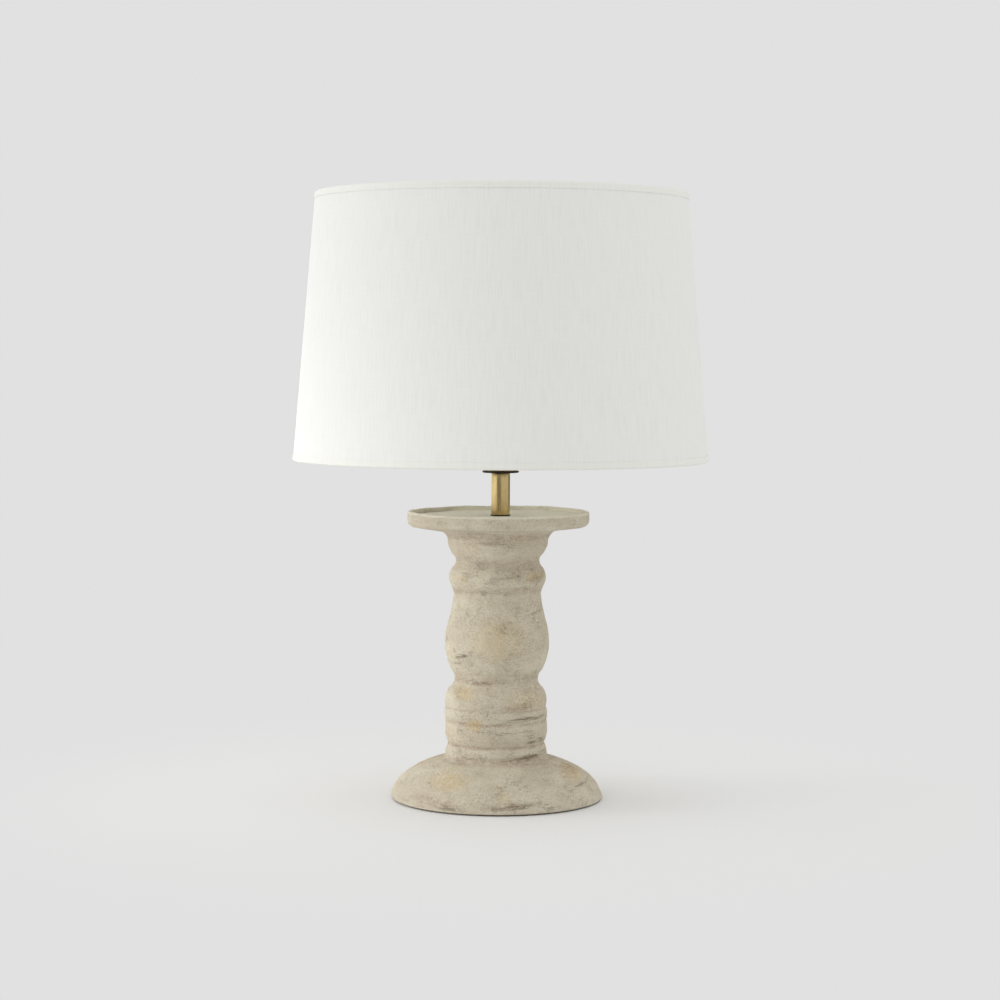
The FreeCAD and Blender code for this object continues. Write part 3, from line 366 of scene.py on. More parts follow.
class Finish:
    """A material while it is being mixed: short calls add its nodes and join them."""

    def __init__(self, name, colour, roughness, metallic=0.0, specular=0.5):
        self.material = bpy.data.materials.new(name)
        self.material.use_nodes = True
        self.tree = self.material.node_tree
        self.shader = self.tree.nodes["Principled BSDF"]
        self.give("Base Color", (*colour, 1.0))
        self.give("Roughness", roughness)
        self.give("Metallic", metallic)
        self.give("Specular IOR Level", specular)
        self.place = self.add("ShaderNodeTexCoord").outputs["Object"]

    def add(self, kind, **settings):
        """A new node with some of its settings."""
        node = self.tree.nodes.new(kind)
        for setting, value in settings.items():
            setattr(node, setting, value)
        return node

    def feed(self, socket, value):
        """Put a number, a colour or another node's output into a socket."""
        if isinstance(value, bpy.types.NodeSocket):
            self.tree.links.new(value, socket)
        elif hasattr(value, "__len__") and len(value) == 3 and socket.type == "RGBA":
            socket.default_value = (*value, 1.0)
        else:
            socket.default_value = value

    def give(self, name, value):
        """Set or join one of the shader's own sockets."""
        self.feed(self.shader.inputs[name], value)

    def noise(self, size, detail=2.0, rough=0.5, twist=0.0, stretch=(1, 1, 1), place=None):
        """Soft random patches about so many metres across, mostly from 0.3 to 0.7."""
        mapping = self.add("ShaderNodeMapping")
        mapping.inputs["Scale"].default_value = [1 / (size * s) for s in stretch]
        self.feed(mapping.inputs["Vector"], place or self.place)
        texture = self.add("ShaderNodeTexNoise")
        texture.inputs["Scale"].default_value = 1.0
        texture.inputs["Detail"].default_value = detail
        texture.inputs["Roughness"].default_value = rough
        texture.inputs["Distortion"].default_value = twist
        self.feed(texture.inputs["Vector"], mapping.outputs[0])
        return texture.outputs["Fac"]

    def range(self, value, low, high, first=0.0, last=1.0):
        """Spread the stretch from low to high, softly, over first to last."""
        node = self.add("ShaderNodeMapRange", interpolation_type="SMOOTHSTEP")
        self.feed(node.inputs["Value"], value)
        for name, number in (("From Min", low), ("From Max", high),
                             ("To Min", first), ("To Max", last)):
            node.inputs[name].default_value = number
        return node.outputs[0]

    def math(self, operation, first, second=0.0):
        """One sum of two values."""
        node = self.add("ShaderNodeMath", operation=operation)
        self.feed(node.inputs[0], first)
        self.feed(node.inputs[1], second)
        return node.outputs[0]

    def mix(self, share, first, second, blend="MIX"):
        """Lay the second colour over the first, by a share. Sockets 6, 7 and 2 are colours."""
        node = self.add("ShaderNodeMix", data_type="RGBA", blend_type=blend)
        self.feed(node.inputs[0], share)
        self.feed(node.inputs[6], first)
        self.feed(node.inputs[7], second)
        return node.outputs[2]

    def painted(self, name):
        """A value that was painted on the piece's points."""
        return self.add("ShaderNodeAttribute", attribute_name=name).outputs["Fac"]

    def bump(self, height, depth, under=None):
        """Roughen the surface by a height from 0 to 1 that stands for so many metres."""
        node = self.add("ShaderNodeBump")
        node.inputs["Strength"].default_value = 1.0
        node.inputs["Distance"].default_value = depth
        self.feed(node.inputs["Height"], height)
        if under:
            self.feed(node.inputs["Normal"], under)
        self.give("Normal", node.outputs[0])
        return node.outputs[0]


print("finish helper ready")

# %% [markdown]
# ## The stone column
# Foot, column and dish are one hollow casting with a dry, sandy, aged face. It was formed by
# hand, so it leans a little to the left of the neck, and its beads wander. A copy of the
# solid's own outline, split into short steps and spun round, gives enough points to push
# about. The hollow inside keeps its true shape, because the plate and nut sit in it.

# %% Outline and spin
STONE_STEP = 1.7 * MM       # the outline's longest edge on the outside
STONE_AROUND = 240          # steps of the spin
OFF_FACE = 0.05 * MM        # a ray starts this far off the face it leaves

column_low, column_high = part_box("column_body")
stone = outline_of("column_body", "stone_column")
solid = nodes["column_body"]
UP = Vector((0, 0, 1))
OUT = Vector((1, 0, 0))


def in_hollow(at):
    """True for a point of the outline that has stone both outside and above it."""
    return all(solid.ray_cast(at + way * OFF_FACE, way)[0] for way in (UP, OUT))


split_long_edges(stone, STONE_STEP, lambda edge, at: not in_hollow(at))
skin = [not in_hollow(v.co) for v in bmesh.from_edit_mesh(stone.data).verts]
bpy.ops.object.mode_set(mode="OBJECT")
skin_group = stone.vertex_groups.new(name="skin")
skin_group.add([i for i, outside in enumerate(skin) if outside], 1.0, "REPLACE")
bpy.ops.object.mode_set(mode="EDIT")
spin_round(stone, STONE_AROUND)
print("stone outline:", len(skin), "points,", sum(skin), "of them outside")

# %% [markdown]
# ## Uneven by hand
# Four layers make the casting uneven. A slow sideways lean follows the height. Broad lumps of
# some centimetres bend the outline, smaller ones dent it, and grit roughens it. Displace
# modifiers do this from a vertex group, and are applied at once. Near the neck's seat and at
# the sole the group fades to nothing, so that what the stone touches still fits.

# %% Lean and lumps
NECK_SEAT = 16 * MM         # radius around the neck that stays true
SOLE_FADE = 4 * MM          # the lumps grow over this height
LEAN_UNIT = 5 * MM          # the sideways shift at full weight
# the shift at each height in millimetres, as a share of the unit
LEAN = ((0, 0.40), (10, 0.62), (40, 0.76), (120, 0.66), (200, 0.58), (262, 0.46), (292, 0.36))
# how much the lumps of a layer rise, how wide they are, and their detail
LUMPS = ((2.6 * MM, 0.085, 2), (1.1 * MM, 0.020, 3), (0.5 * MM, 0.0045, 3))


def along(steps, at):
    """The value at a place between two steps of a (place, value) list."""
    for (low, first), (high, last) in zip(steps, steps[1:]):
        if at <= high:
            share = (at - low) / (high - low)
            return first + (last - first) * max(share, 0.0)
    return steps[-1][1]


def layer(piece, group, strength, size=None, direction="NORMAL", depth=2):
    """Push the points of a group about by a cloud pattern, or evenly if it has no size."""
    push = piece.modifiers.new("push", "DISPLACE")
    push.vertex_group = group
    push.strength = strength
    push.direction = direction
    push.mid_level = 0.0
    if size:
        clouds = bpy.data.textures.new("clouds", "CLOUDS")
        clouds.noise_scale = size
        clouds.noise_depth = depth
        push.texture = clouds
        push.texture_coords = "LOCAL"
        push.mid_level = 0.5
    bpy.ops.object.modifier_apply(modifier=push.name)


lean_group = stone.vertex_groups.new(name="lean")
lump_group = stone.vertex_groups.new(name="lumps")
for vert in stone.data.vertices:
    if not any(g.group == skin_group.index for g in vert.groups):
        continue
    radius = math.hypot(vert.co.x, vert.co.y)
    free = min(max((radius - NECK_SEAT) / NECK_SEAT, 0.0), 1.0)
    lifted = min(max((vert.co.z - column_low.z) / SOLE_FADE, 0.0), 1.0)
    lean_group.add([vert.index], along(LEAN, vert.co.z / MM) * free, "REPLACE")
    lump_group.add([vert.index], free * lifted, "REPLACE")
layer(stone, "lean", -LEAN_UNIT, direction="X")
for strength, size, depth in LUMPS:
    layer(stone, "lumps", strength, size=size, depth=depth)
print("stone is", round(stone.dimensions.x / MM, 1), "mm wide after the lean")

# %% [markdown]
# ## The cord's way in
# A small round seat for the cord's bushing is let into the back of the foot. It is cut with a
# cylinder, a little larger than the bushing's flange, the way one would drill it.

# %% Drill the inlet
DRILL_PLAY = 0.05 * MM      # around the bushing's flange
DRILL_LENGTH = 30 * MM
DRILL_MIDDLE = 16 * MM      # from the bushing's inner end to the drill's middle

bushing_low, bushing_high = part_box("cord_bushing")
drill_radius = (bushing_high.z - bushing_low.z) / 2 + DRILL_PLAY
bpy.ops.object.select_all(action="DESELECT")
bpy.ops.mesh.primitive_cylinder_add(
    vertices=48, radius=drill_radius, depth=DRILL_LENGTH, rotation=(math.radians(90), 0, 0),
    location=(0, bushing_low.y + DRILL_MIDDLE, (bushing_low.z + bushing_high.z) / 2))
drill = bpy.context.object
bpy.context.view_layer.objects.active = stone
cut = stone.modifiers.new("inlet", "BOOLEAN")
cut.object = drill
cut.solver = "EXACT"
bpy.ops.object.modifier_apply(modifier=cut.name)
bpy.data.objects.remove(drill)
smooth(stone)
print("inlet drilled:", round(drill_radius * 2 / MM, 1), "mm across")

# %% [markdown]
# ## Stains, ochre and cracks
# The finish of the stone is uneven in places that one remembers: a dark band over the foot, a
# tan patch beside the lower beads, brush strokes of ochre, short cracks that rise to the
# right. They are painted on the points as three values, each mark a soft ellipse seen from
# the front. Broken up by noise in the material, they stop looking like ellipses.

# %% Paint the marks
SIDE_FADE = 12 * MM         # marks of front and back fade out towards the sides
BACK_SHARE = 0.7            # the back has the same marks, turned round and fainter
RIM_BAND = 3 * MM           # painted light: the dish's floor is made paler, for light that reaches it under the shade, and this fades over its rim
FLOOR_EDGE = 88 * MM        # radius of the dish's floor
NEAR_MARK = 1.2             # points further off than this many half sizes are skipped
STEEP_MARK = 0.5            # the share of its half length that a risen mark may add to its height
# each mark: what, across and height of its middle, half its length and half its height in
# millimetres, its rise in degrees, and its strength
# the long thin marks near 46 mm and from 262 to 277 mm darken the stone where the column meets the
# foot and under the dish's edge
MARKS = (
    ("crack", -37, 149, 13, 2.4, 9, 0.9), ("crack", -36, 145, 12, 1.6, 4, 0.7),
    ("crack", 37, 192, 8, 1.8, 14, 0.6), ("crack", 12, 73, 22, 1.9, 6, 0.9),
    ("crack", 41, 63, 7, 3.0, 16, 0.9), ("crack", 25, 86, 24, 2.3, 4, 1.0),
    ("crack", 80, 21, 14, 2.0, 10, 0.6), ("crack", 54, 6, 12, 1.5, 8, 0.5),
    ("crack", -32, 153, 9, 1.6, 14, 0.7), ("crack", -44, 141, 8, 1.6, -2, 0.6),
    ("crack", 34, 62, 12, 1.8, 8, 0.8), ("crack", 4, 82, 16, 1.4, 7, 0.6),
    ("crack", 30, 48, 20, 2.6, 7, 0.9), ("crack", -30, 47, 12, 2.0, -8, 0.7),
    ("crack", -30, 231, 14, 2.0, -4, 0.4), ("crack", 8, 228, 22, 1.8, 4, 0.35),
    ("crack", 16, 8, 26, 2.4, 4, 0.8), ("crack", -48, 5, 20, 2.2, -3, 0.7),
    ("crack", -20, 121, 15, 2.0, 2, 0.6), ("crack", -8, 263, 30, 2.2, 1, 0.3),
    ("crack", 4, 277, 46, 1.6, 0, 0.3),
    ("stain", -22, 122, 19, 2.6, 1, 1.0), ("stain", 20, 97, 17, 6.5, 8, 0.65),
    ("stain", 28, 86, 22, 3.6, 5, 0.8), ("stain", -20, 46, 30, 3.0, 2, 0.5),
    ("stain", 24, 46, 24, 4.2, 4, 0.95), ("stain", 35, 226, 12, 5.0, 4, 0.55),
    ("stain", 10, 216, 36, 2.0, 2, 0.6), ("stain", -8, 262, 26, 2.2, 0, 0.5),
    ("stain", 12, 9, 36, 4.5, 3, 0.8), ("stain", -56, 8, 20, 4.5, -3, 0.7),
    ("stain", -76, 12, 14, 5.0, 10, 0.5), ("stain", 72, 36, 18, 7.0, -14, 0.7),
    ("stain", 40, 120, 8, 5.0, 0, 0.4), ("stain", -20, 272, 34, 2.0, 0, 0.5),
    ("ochre", 0, 166, 34, 26, 0, 0.55), ("ochre", -25, 80, 11, 7.0, 0, 1.0),
    ("ochre", -36, 111, 12, 8.0, 0, 0.8), ("ochre", -50, 28, 24, 9.0, 8, 0.8),
    ("ochre", 74, 33, 16, 10, -12, 0.8), ("ochre", 34, 228, 12, 6.0, 0, 0.8),
    ("ochre", -38, 226, 8, 5.0, 0, 0.5), ("ochre", 25, 103, 24, 12, 0, 0.5),
    ("ochre", -78, 38, 12, 4.0, 30, 0.6),
)
# darker bands in the grooves all round: height, half its width, and strength
GROOVES = ((43, 3.5, 0.45), (57, 2.4, 0.6), (80.5, 2.2, 0.55), (93.6, 1.8, 0.35),
           (123, 5.0, 0.40), (213, 3.5, 0.45), (242, 5.5, 0.35), (268, 4.0, 0.45))


def groove_darkening(height):
    """How much darker the grooves make a height, from 0 to 1."""
    return max(strength * max(1 - ((height - middle) / half) ** 2, 0.0)
               for middle, half, strength in GROOVES)


def paint_marks(piece, kinds):
    """Store one value a kind of mark on the points of a piece: 1 in a mark's middle."""
    values = {kind: [0.0] * len(piece.data.vertices) for kind in kinds}
    # the stain value starts with the darker bands in the grooves
    values["stain"] = [groove_darkening(vert.co.z / MM) for vert in piece.data.vertices]
    for kind, across, height, half_long, half_high, rise, strength in MARKS:
        turned = math.radians(rise)
        for vert in piece.data.vertices:
            front = vert.co.y < 0
            x = (vert.co.x if front else -vert.co.x) / MM - across
            z = vert.co.z / MM - height
            if abs(x) > half_long * NEAR_MARK:
                continue
            if abs(z) > half_long * STEEP_MARK + half_high * NEAR_MARK:
                continue
            far = math.hypot((x * math.cos(turned) + z * math.sin(turned)) / half_long,
                             (z * math.cos(turned) - x * math.sin(turned)) / half_high)
            shown = min(abs(vert.co.y) / SIDE_FADE, 1.0) * (1.0 if front else BACK_SHARE)
            value = strength * shown * max(1 - far * far, 0.0)
            values[kind][vert.index] = max(values[kind][vert.index], value)
    for kind, found in values.items():
        attribute = piece.data.attributes.new(kind, "FLOAT", "POINT")
        attribute.data.foreach_set("value", found)


paint_marks(stone, ("crack", "stain", "ochre"))
# painted light: the dish's floor and inner wall are painted paler than the stone, standing for light
# under the shade
pale_and_lit = stone.data.attributes.new("pale_and_lit", "FLOAT", "POINT")
rim = column_high.z - RIM_BAND
pale_and_lit.data.foreach_set("value", [
    min(max((v.co.z - rim) / RIM_BAND, 0.0), 1.0) if math.hypot(v.co.x, v.co.y) > FLOOR_EDGE
    else float(v.co.z > rim - RIM_BAND) for v in stone.data.vertices])
print("painted", len(MARKS), "marks")

# %% [markdown]
# ## Stone finish
# Close up, the face is cream to greige, clouded over centimetres, peppered with brown grains,
# and crossed by short crooked scratches that catch dirt. Each of these is one noise pattern
# at its own size. The painted values then say where stains, ochre and cracks gather, and where
# painted light makes the dish's floor paler.

# %% Mix the stone
CREAM = (0.690, 0.636, 0.508)
# the colour of the painted light on the dish's floor
PALE_AND_LIT = (0.830, 0.790, 0.650)
GREIGE = (0.545, 0.478, 0.370)
OCHRE = (0.640, 0.500, 0.280)
TAN = (0.350, 0.262, 0.190)
DIRT = (0.210, 0.160, 0.110)

stone_mix = Finish("cast_stone_face", GREIGE, 0.93, specular=0.25)
clouds = stone_mix.range(
    stone_mix.noise(0.035, detail=4, rough=0.55, stretch=(1, 1, 0.7)), 0.36, 0.66, 0.25, 0.85)
colour = stone_mix.mix(clouds, GREIGE, CREAM)
breaking = stone_mix.noise(0.006, detail=4, rough=0.65)
rare_ochre = stone_mix.range(stone_mix.noise(0.028, detail=3, twist=0.5), 0.60, 0.76, 0.0, 0.45)
ochre = stone_mix.math("MAXIMUM", rare_ochre, stone_mix.painted("ochre"))
ochre = stone_mix.math("MULTIPLY", ochre, stone_mix.range(breaking, 0.32, 0.58, 0.25, 1.0))
colour = stone_mix.mix(ochre, colour, OCHRE)
rare_stain = stone_mix.range(
    stone_mix.noise(0.022, detail=4, rough=0.65, stretch=(1.6, 1.6, 0.5)), 0.60, 0.78, 0.0, 0.35)
stain = stone_mix.math("MAXIMUM", rare_stain, stone_mix.painted("stain"))
stain = stone_mix.math("MULTIPLY", stain, stone_mix.range(
    stone_mix.noise(0.004, detail=5, rough=0.7, stretch=(1.8, 1.8, 0.7)), 0.38, 0.56, 0.22, 1.0))
colour = stone_mix.mix(stain, colour, TAN)
grain = stone_mix.noise(0.0017, detail=3, rough=0.65)
sandy = stone_mix.range(stone_mix.noise(0.024, detail=3, rough=0.6), 0.38, 0.64, 0.30, 1.0)
dark_grains = stone_mix.math("MULTIPLY", sandy, stone_mix.range(grain, 0.48, 0.66, 0.0, 0.55))
colour = stone_mix.mix(dark_grains, colour, TAN)
colour = stone_mix.mix(stone_mix.range(grain, 0.47, 0.32, 0.0, 0.50), colour, CREAM)
crooked = stone_mix.noise(0.0032, detail=3, rough=0.6, twist=0.9, stretch=(1.8, 1.8, 0.7))
line = stone_mix.range(stone_mix.math("ABSOLUTE", stone_mix.math("SUBTRACT", crooked, 0.5)),
                       0.004, 0.030, 1.0, 0.0)
dirty = stone_mix.range(stone_mix.noise(0.015, detail=3, rough=0.6), 0.48, 0.68, 0.04, 0.45)
scratches = stone_mix.math("MULTIPLY", line, dirty)
colour = stone_mix.mix(scratches, colour, DIRT)
streak = stone_mix.noise(0.0035, detail=3, rough=0.6, twist=0.8, stretch=(5, 5, 0.5))
streak = stone_mix.range(streak, 0.47, 0.55)
cracks = stone_mix.math("MULTIPLY", streak, stone_mix.painted("crack"))
colour = stone_mix.mix(cracks, colour, DIRT)
# painted light: the paler colour on the dish's floor
colour = stone_mix.mix(stone_mix.painted("pale_and_lit"), colour, PALE_AND_LIT)
wrinkles = stone_mix.noise(0.0024, detail=3, rough=0.6, twist=0.6, stretch=(1.9, 1.9, 0.65))
colour = stone_mix.mix(stone_mix.range(wrinkles, 0.45, 0.30, 0.0, 0.30), colour, TAN)
stone_mix.give("Base Color", colour)
coarse = stone_mix.bump(stone_mix.noise(0.0050, detail=5, rough=0.62), 0.8 * MM)
folded = stone_mix.bump(wrinkles, 0.9 * MM, under=coarse)
fine = stone_mix.bump(grain, 0.45 * MM, under=folded)
stone_mix.bump(stone_mix.math("ADD", scratches, cracks), -0.5 * MM, under=fine)
take_place(stone, "base", "cast_stone", stone_mix.material, "column_body")

# %% [markdown]
# ## Brass and bronze
# Neck, socket and harp are satin brass under clear lacquer, a little uneven and drawn along
# their length. The ring over the neck and the washer under it are a dark bronze, made near-black
# partly as painted shade, since the ring lies in the shadow under the shade; only their edges catch
# light.

# %% Metal finishes


def drawn_metal(name, colour, dull, roughness, grain=(1, 1, 30)):
    """A metal with faint lines along its length and a slightly duller patina in patches."""
    metal = Finish(name, colour, roughness, metallic=1.0)
    lines = metal.noise(0.0007, detail=3, stretch=grain)
    patches = metal.range(metal.noise(0.012, detail=3), 0.40, 0.70, 0.0, 0.45)
    metal.give("Base Color", metal.mix(patches, colour, dull))
    metal.give("Roughness", metal.range(lines, 0.30, 0.70, roughness - 0.06, roughness + 0.08))
    metal.bump(lines, 0.004 * MM)
    return metal.material


ANTIQUE = (0.620, 0.475, 0.225)
antique_brass = drawn_metal("antique_brass_satin", ANTIQUE, (0.500, 0.370, 0.165), 0.27)
bright_brass = drawn_metal("bright_brass_plain", (0.78, 0.62, 0.32), (0.68, 0.52, 0.25), 0.20)
zinc = drawn_metal("zinc_plate", (0.62, 0.62, 0.60), (0.52, 0.53, 0.53), 0.35)
aluminium = drawn_metal("aluminium_sheet", (0.80, 0.80, 0.79), (0.70, 0.70, 0.70), 0.30)
solder = drawn_metal("solder_drop", (0.60, 0.60, 0.60), (0.45, 0.45, 0.46), 0.40, (1, 1, 1))

# painted shade: near-black, for brass that lies in the shadow under the shade
shaded_bronze_mix = Finish("dark_bronze_and_painted_shade", (0.018, 0.011, 0.005), 0.42, specular=0.25)
worn = shaded_bronze_mix.range(shaded_bronze_mix.noise(0.003, detail=4), 0.56, 0.74, 0.0, 0.5)
shaded_bronze_mix.give("Base Color", shaded_bronze_mix.mix(worn, (0.018, 0.011, 0.005), (0.045, 0.028, 0.013)))
shaded_bronze_mix.bump(shaded_bronze_mix.noise(0.0008), 0.02 * MM)
dark_bronze = shaded_bronze_mix.material
print("metals mixed")

# %% Turn the neck and its rings
neck = turn_again("neck_tube", "brass_neck", 0.25 * MM, longest=6 * MM)
take_place(neck, "base", "antique_brass", antique_brass, "neck_tube")
ring = turn_again("check_ring", "dark_check_ring", 0.15 * MM)
take_place(ring, "base", "dark_bronze", dark_bronze, "check_ring")
washer = turn_again("neck_washer", "dark_neck_washer", 0.2 * MM)
take_place(washer, "base", "dark_bronze", dark_bronze, "neck_washer")

# %% [markdown]
# ## The switch knob
# The small turn knob is moulded with flutes, so that fingers grip it. A cylinder has four sides
# for each flute: two are pushed in a little, and two stay as the land between the flutes.
# Its rims are rounded.

# %% Flute the knob
FLUTES = 14
SIDES_PER_FLUTE = 4
FLUTE_DEPTH = 0.45 * MM
KNOB_RIM = 0.9 * MM         # the plain band at both ends of the flutes
MIDDLE_BAND = 1 * MM        # a face this near the middle lies between the rims
END_RING = 0.8 * MM         # the flat ring on the knob's ends
LEAST_END_AREA = 20 * MM * MM
KNOB_ROUND = 0.18 * MM

knob_low, knob_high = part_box("switch_knob")
knob_middle = (knob_low + knob_high) / 2
knob_size = knob_high - knob_low
bpy.ops.object.select_all(action="DESELECT")
bpy.ops.mesh.primitive_cylinder_add(
    vertices=FLUTES * SIDES_PER_FLUTE, radius=knob_size.x / 2, depth=knob_size.y, end_fill_type="NGON",
    location=knob_middle, rotation=(math.radians(90), 0, 0))
knob = bpy.context.object
knob.name = "fluted_knob"
bpy.ops.object.transform_apply(location=True, rotation=True, scale=True)
start_on(knob)


def is_flute(face, at):
    """True for the first half of every flute's sides, between the rims."""
    turned = math.atan2(at.x - knob_middle.x, at.z - knob_middle.z) % math.tau
    side = int(turned / math.tau * FLUTES * SIDES_PER_FLUTE) % SIDES_PER_FLUTE
    between_rims = abs(at.y - knob_middle.y) < MIDDLE_BAND
    return abs(face.normal.y) < 0.5 and side < SIDES_PER_FLUTE / 2 and between_rims


pick(knob, "faces", lambda face, at: abs(face.normal.y) < 0.5)
bpy.ops.mesh.inset(thickness=KNOB_RIM, use_even_offset=True, use_boundary=True)
pick(knob, "faces", is_flute)
bpy.ops.mesh.extrude_region_shrink_fatten(TRANSFORM_OT_shrink_fatten={"value": -FLUTE_DEPTH})
pick(knob, "faces",
     lambda face, at: abs(face.normal.y) > 0.9 and face.calc_area() > LEAST_END_AREA)
bpy.ops.mesh.inset(thickness=END_RING)
bpy.ops.object.mode_set(mode="OBJECT")
rounding = knob.modifiers.new("rounding", "BEVEL")
rounding.width = KNOB_ROUND
rounding.segments = 2
rounding.limit_method = "ANGLE"
rounding.angle_limit = math.radians(40)
bpy.ops.object.modifier_apply(modifier=rounding.name)
smooth(knob)
print("knob with", FLUTES, "flutes")

# %% [markdown]
# ## The linen shade
# The shade is one curved strip of linen on a stiff lining, cut as a piece of a ring. Its
# surface is not perfectly round: the cloth follows a lining that was glued by hand. The weave
# runs up and round, so it needs coordinates that follow the cloth: a map whose first number
# is the way round in metres, and whose second is the height.

# %% The cloth and its map
CLOTH_AROUND = 360          # steps round the shade
CLOTH_EDGE = 0.1 * MM       # how soft its cut edges are
CLOTH_STEP = 7 * MM         # the longest edge up the cloth

cloth = turn_again("shade_cover", "linen_cover", CLOTH_EDGE, CLOTH_AROUND, longest=CLOTH_STEP)
cover_low, cover_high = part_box("shade_cover")
mean_radius = 0.5 * (cover_high.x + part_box("shade_top_hem")[1].x)


def map_cloth(piece, radius):
    """A map in metres: the way round from the front, and the height."""
    layer_of = piece.data.uv_layers.new(name="cloth")
    points = piece.data.vertices
    for face in piece.data.polygons:
        turns = []
        for corner in face.loop_indices:
            at = points[piece.data.loops[corner].vertex_index].co
            turns.append(math.atan2(at.x, -at.y))
        for corner, turned in zip(face.loop_indices, turns):
            if turned < turns[0] - math.pi:
                turned += math.tau
            elif turned > turns[0] + math.pi:
                turned -= math.tau
            height = points[piece.data.loops[corner].vertex_index].co.z
            layer_of.data[corner].uv = (turned * radius, height)


def ripple(piece, strength, size):
    """Let a piece swell and sink slightly over all its surface."""
    group = piece.vertex_groups.new(name="all")
    group.add(range(len(piece.data.vertices)), 1.0, "REPLACE")
    layer(piece, "all", strength, size=size)


SEAM_HALF_WIDTH = 6 * MM
SEAM_PROUD = 0.35 * MM
SEAM_END = 4 * MM           # the seam ends under the hems

start_on(cloth)
seam = pick(cloth, "faces", lambda face, at: at.y > 0 and abs(at.x) < SEAM_HALF_WIDTH
            and face.normal.y > 0.5 and cover_low.z + SEAM_END < at.z < cover_high.z - SEAM_END)
bpy.ops.mesh.extrude_region_shrink_fatten(TRANSFORM_OT_shrink_fatten={"value": SEAM_PROUD})
bpy.ops.object.mode_set(mode="OBJECT")
map_cloth(cloth, mean_radius)
print("lap seam on", seam, "faces of the back")
print("cloth mapped at a radius of", round(mean_radius / MM, 1), "mm")

# %% [markdown]
# ## Linen finish
# Linen is bleached almost white. What makes it linen is the uneven yarn: fine lines up and
# round, thick stretches called slubs, and a few that shine where a thread floats on top. The
# contrast is small, so most of it is in the bump.

# %% Mix the linen


def linen(name, light, shade, lines=1.0):
    """A bleached linen whose yarn follows the piece's own map."""
    mix = Finish(name, light, 0.92, specular=0.15)
    spread = mix.add("ShaderNodeUVMap", uv_map="cloth").outputs[0]
    upright = mix.noise(0.0011, detail=2, stretch=(1, 30, 1), place=spread)
    level = mix.noise(0.00075, detail=2, stretch=(30, 1, 1), place=spread)
    slubs = mix.noise(0.0019, detail=3, stretch=(1, 22, 1), place=spread)
    floats = mix.noise(0.0016, detail=2, stretch=(1, 3.5, 1), place=spread)
    yarn = mix.math("ADD", mix.range(upright, 0.3, 0.7, 0.0, 0.6),
                    mix.range(level, 0.3, 0.7, 0.0, 0.25))
    colour = mix.mix(mix.range(yarn, 0.2, 0.9, 0.0, 0.55 * lines), light, shade)
    colour = mix.mix(mix.range(slubs, 0.58, 0.72, 0.0, 0.5), colour, shade)
    colour = mix.mix(mix.range(floats, 0.70, 0.78, 0.0, 0.6), colour, (0.95, 0.95, 0.93))
    mix.give("Base Color", colour)
    mix.give("Sheen Weight", 0.08)
    mix.give("Sheen Roughness", 0.5)
    under = mix.bump(yarn, 0.06 * MM)
    mix.bump(slubs, 0.10 * MM, under=under)
    return mix.material


linen_face = linen("linen_face", (0.872, 0.875, 0.857), (0.800, 0.804, 0.780))
linen_edge = linen("linen_rolled", (0.872, 0.874, 0.832), (0.805, 0.806, 0.760), lines=0.7)
CLOTH_RIPPLE = 0.5 * MM
CLOTH_WAVES = 0.06
ripple(cloth, CLOTH_RIPPLE, CLOTH_WAVES)
take_place(cloth, "shade", "linen", linen_face, "shade_cover")

# %% [markdown]
# ## Rolled hems
# A folded strip of the same linen is rolled over each rim and its wire. It stands a little
# proud of the cloth and ends in a soft edge.

# %% Roll the hems
HEM_EDGE = 0.15 * MM        # how soft a hem's edges are
HEM_STEP = 1.2 * MM
HEM_RIPPLE = 0.25 * MM
HEM_WAVES = 0.012

for where, name in (("bottom", "bottom_hem_roll"), ("top", "top_hem_roll")):
    hem = turn_again(f"shade_{where}_hem", name, HEM_EDGE, CLOTH_AROUND, longest=HEM_STEP)
    map_cloth(hem, mean_radius)
    ripple(hem, HEM_RIPPLE, HEM_WAVES)
    take_place(hem, "shade", "linen_hem", linen_edge, f"shade_{where}_hem")

# %% [markdown]
# The cover was cut flat as part of a ring, since the shade is wider at its foot. Its area is
# that of the cone it covers.

# %% [markdown]
# ## Lining, wires and harp
# Inside, the lining is a smooth white sheet, and the rings and arms are wire with white powder
# coat. They keep their CAD shape, as do the moulded, card and glass pieces of socket and bulb.

# %% Plain finishes


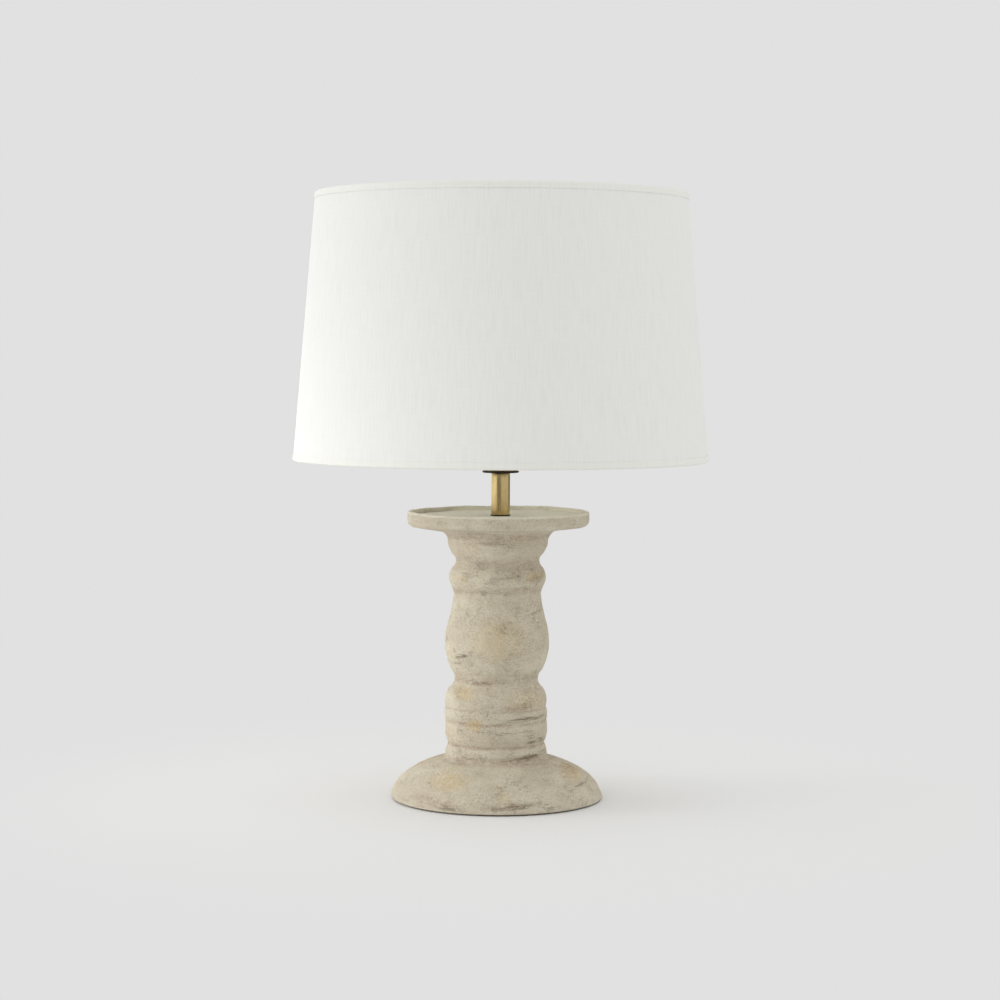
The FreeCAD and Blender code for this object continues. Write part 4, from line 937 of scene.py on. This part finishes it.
def plain(name, colour, roughness, specular=0.5, speck=0.06, size=0.004, depth=0.02):
    """A coated or moulded surface: slightly uneven in colour, roughness and height."""
    mix = Finish(name, colour, roughness, specular=specular)
    uneven = mix.noise(size, detail=3)
    darker = tuple(c * (1 - speck) for c in colour)
    mix.give("Base Color", mix.mix(mix.range(uneven, 0.35, 0.65), colour, darker))
    mix.give("Roughness", mix.range(uneven, 0.3, 0.7, roughness - 0.05, roughness + 0.05))
    mix.bump(mix.noise(size / 5, detail=2), depth * MM)
    return mix.material


styrene = plain("styrene_lining", (0.90, 0.90, 0.88), 0.35, speck=0.03, size=0.02)
white_wire = plain("white_powder_coat", (0.84, 0.83, 0.79), 0.45)
black_plastic = plain("black_moulding", (0.030, 0.030, 0.030), 0.40)
phenolic = plain("brown_moulding", (0.090, 0.060, 0.050), 0.35)
card = plain("insulating_card", (0.30, 0.27, 0.22), 0.90, specular=0.2, speck=0.2)
seal_glass = plain("black_glass", (0.030, 0.030, 0.040), 0.10)
opal = plain("opal_glass", (0.93, 0.92, 0.89), 0.22, speck=0.01)

finishes = {
    "antique_brass": antique_brass, "bright_brass": bright_brass, "zinc_steel": zinc,
    "dark_bronze": dark_bronze, "aluminium_cap": aluminium, "solder": solder,
    "styrene": styrene, "white_wire": white_wire, "black_plastic": black_plastic,
    "phenolic": phenolic, "card": card, "seal_glass": seal_glass, "opal_glass": opal,
    "cast_stone": stone_mix.material, "linen": linen_face, "linen_hem": linen_edge,
}

take_place(knob, "switch", "black_plastic", black_plastic, "switch_knob")

# %% [markdown]
# ## Felt under the foot
# A disc of short grey-brown wool felt keeps the casting off the table.

# %% The felt
felt_mix = Finish("wool_felt", (0.170, 0.150, 0.130), 1.0, specular=0.1)
hairs = felt_mix.noise(0.0009, detail=4, rough=0.7, twist=1.5)
felt_mix.give("Base Color", felt_mix.mix(felt_mix.range(hairs, 0.35, 0.65),
                                         (0.130, 0.115, 0.100), (0.220, 0.195, 0.170)))
felt_mix.give("Sheen Weight", 0.3)
felt_mix.bump(hairs, 0.25 * MM)
finishes["felt"] = felt_mix.material
print("finishes for", len(finishes), "slots")

# %% [markdown]
# ## Finish the CAD pieces
# Every piece of the frame that still shows takes the finish of its material slot.

# %% Assign the finishes
slots = {row["node"]: row["material_slot"] for row in frame["record"]["subparts"]}
for name, node in nodes.items():
    node.data.materials.clear()
    node.data.materials.append(finishes[slots[name]])
print("finished", len(nodes), "CAD pieces")
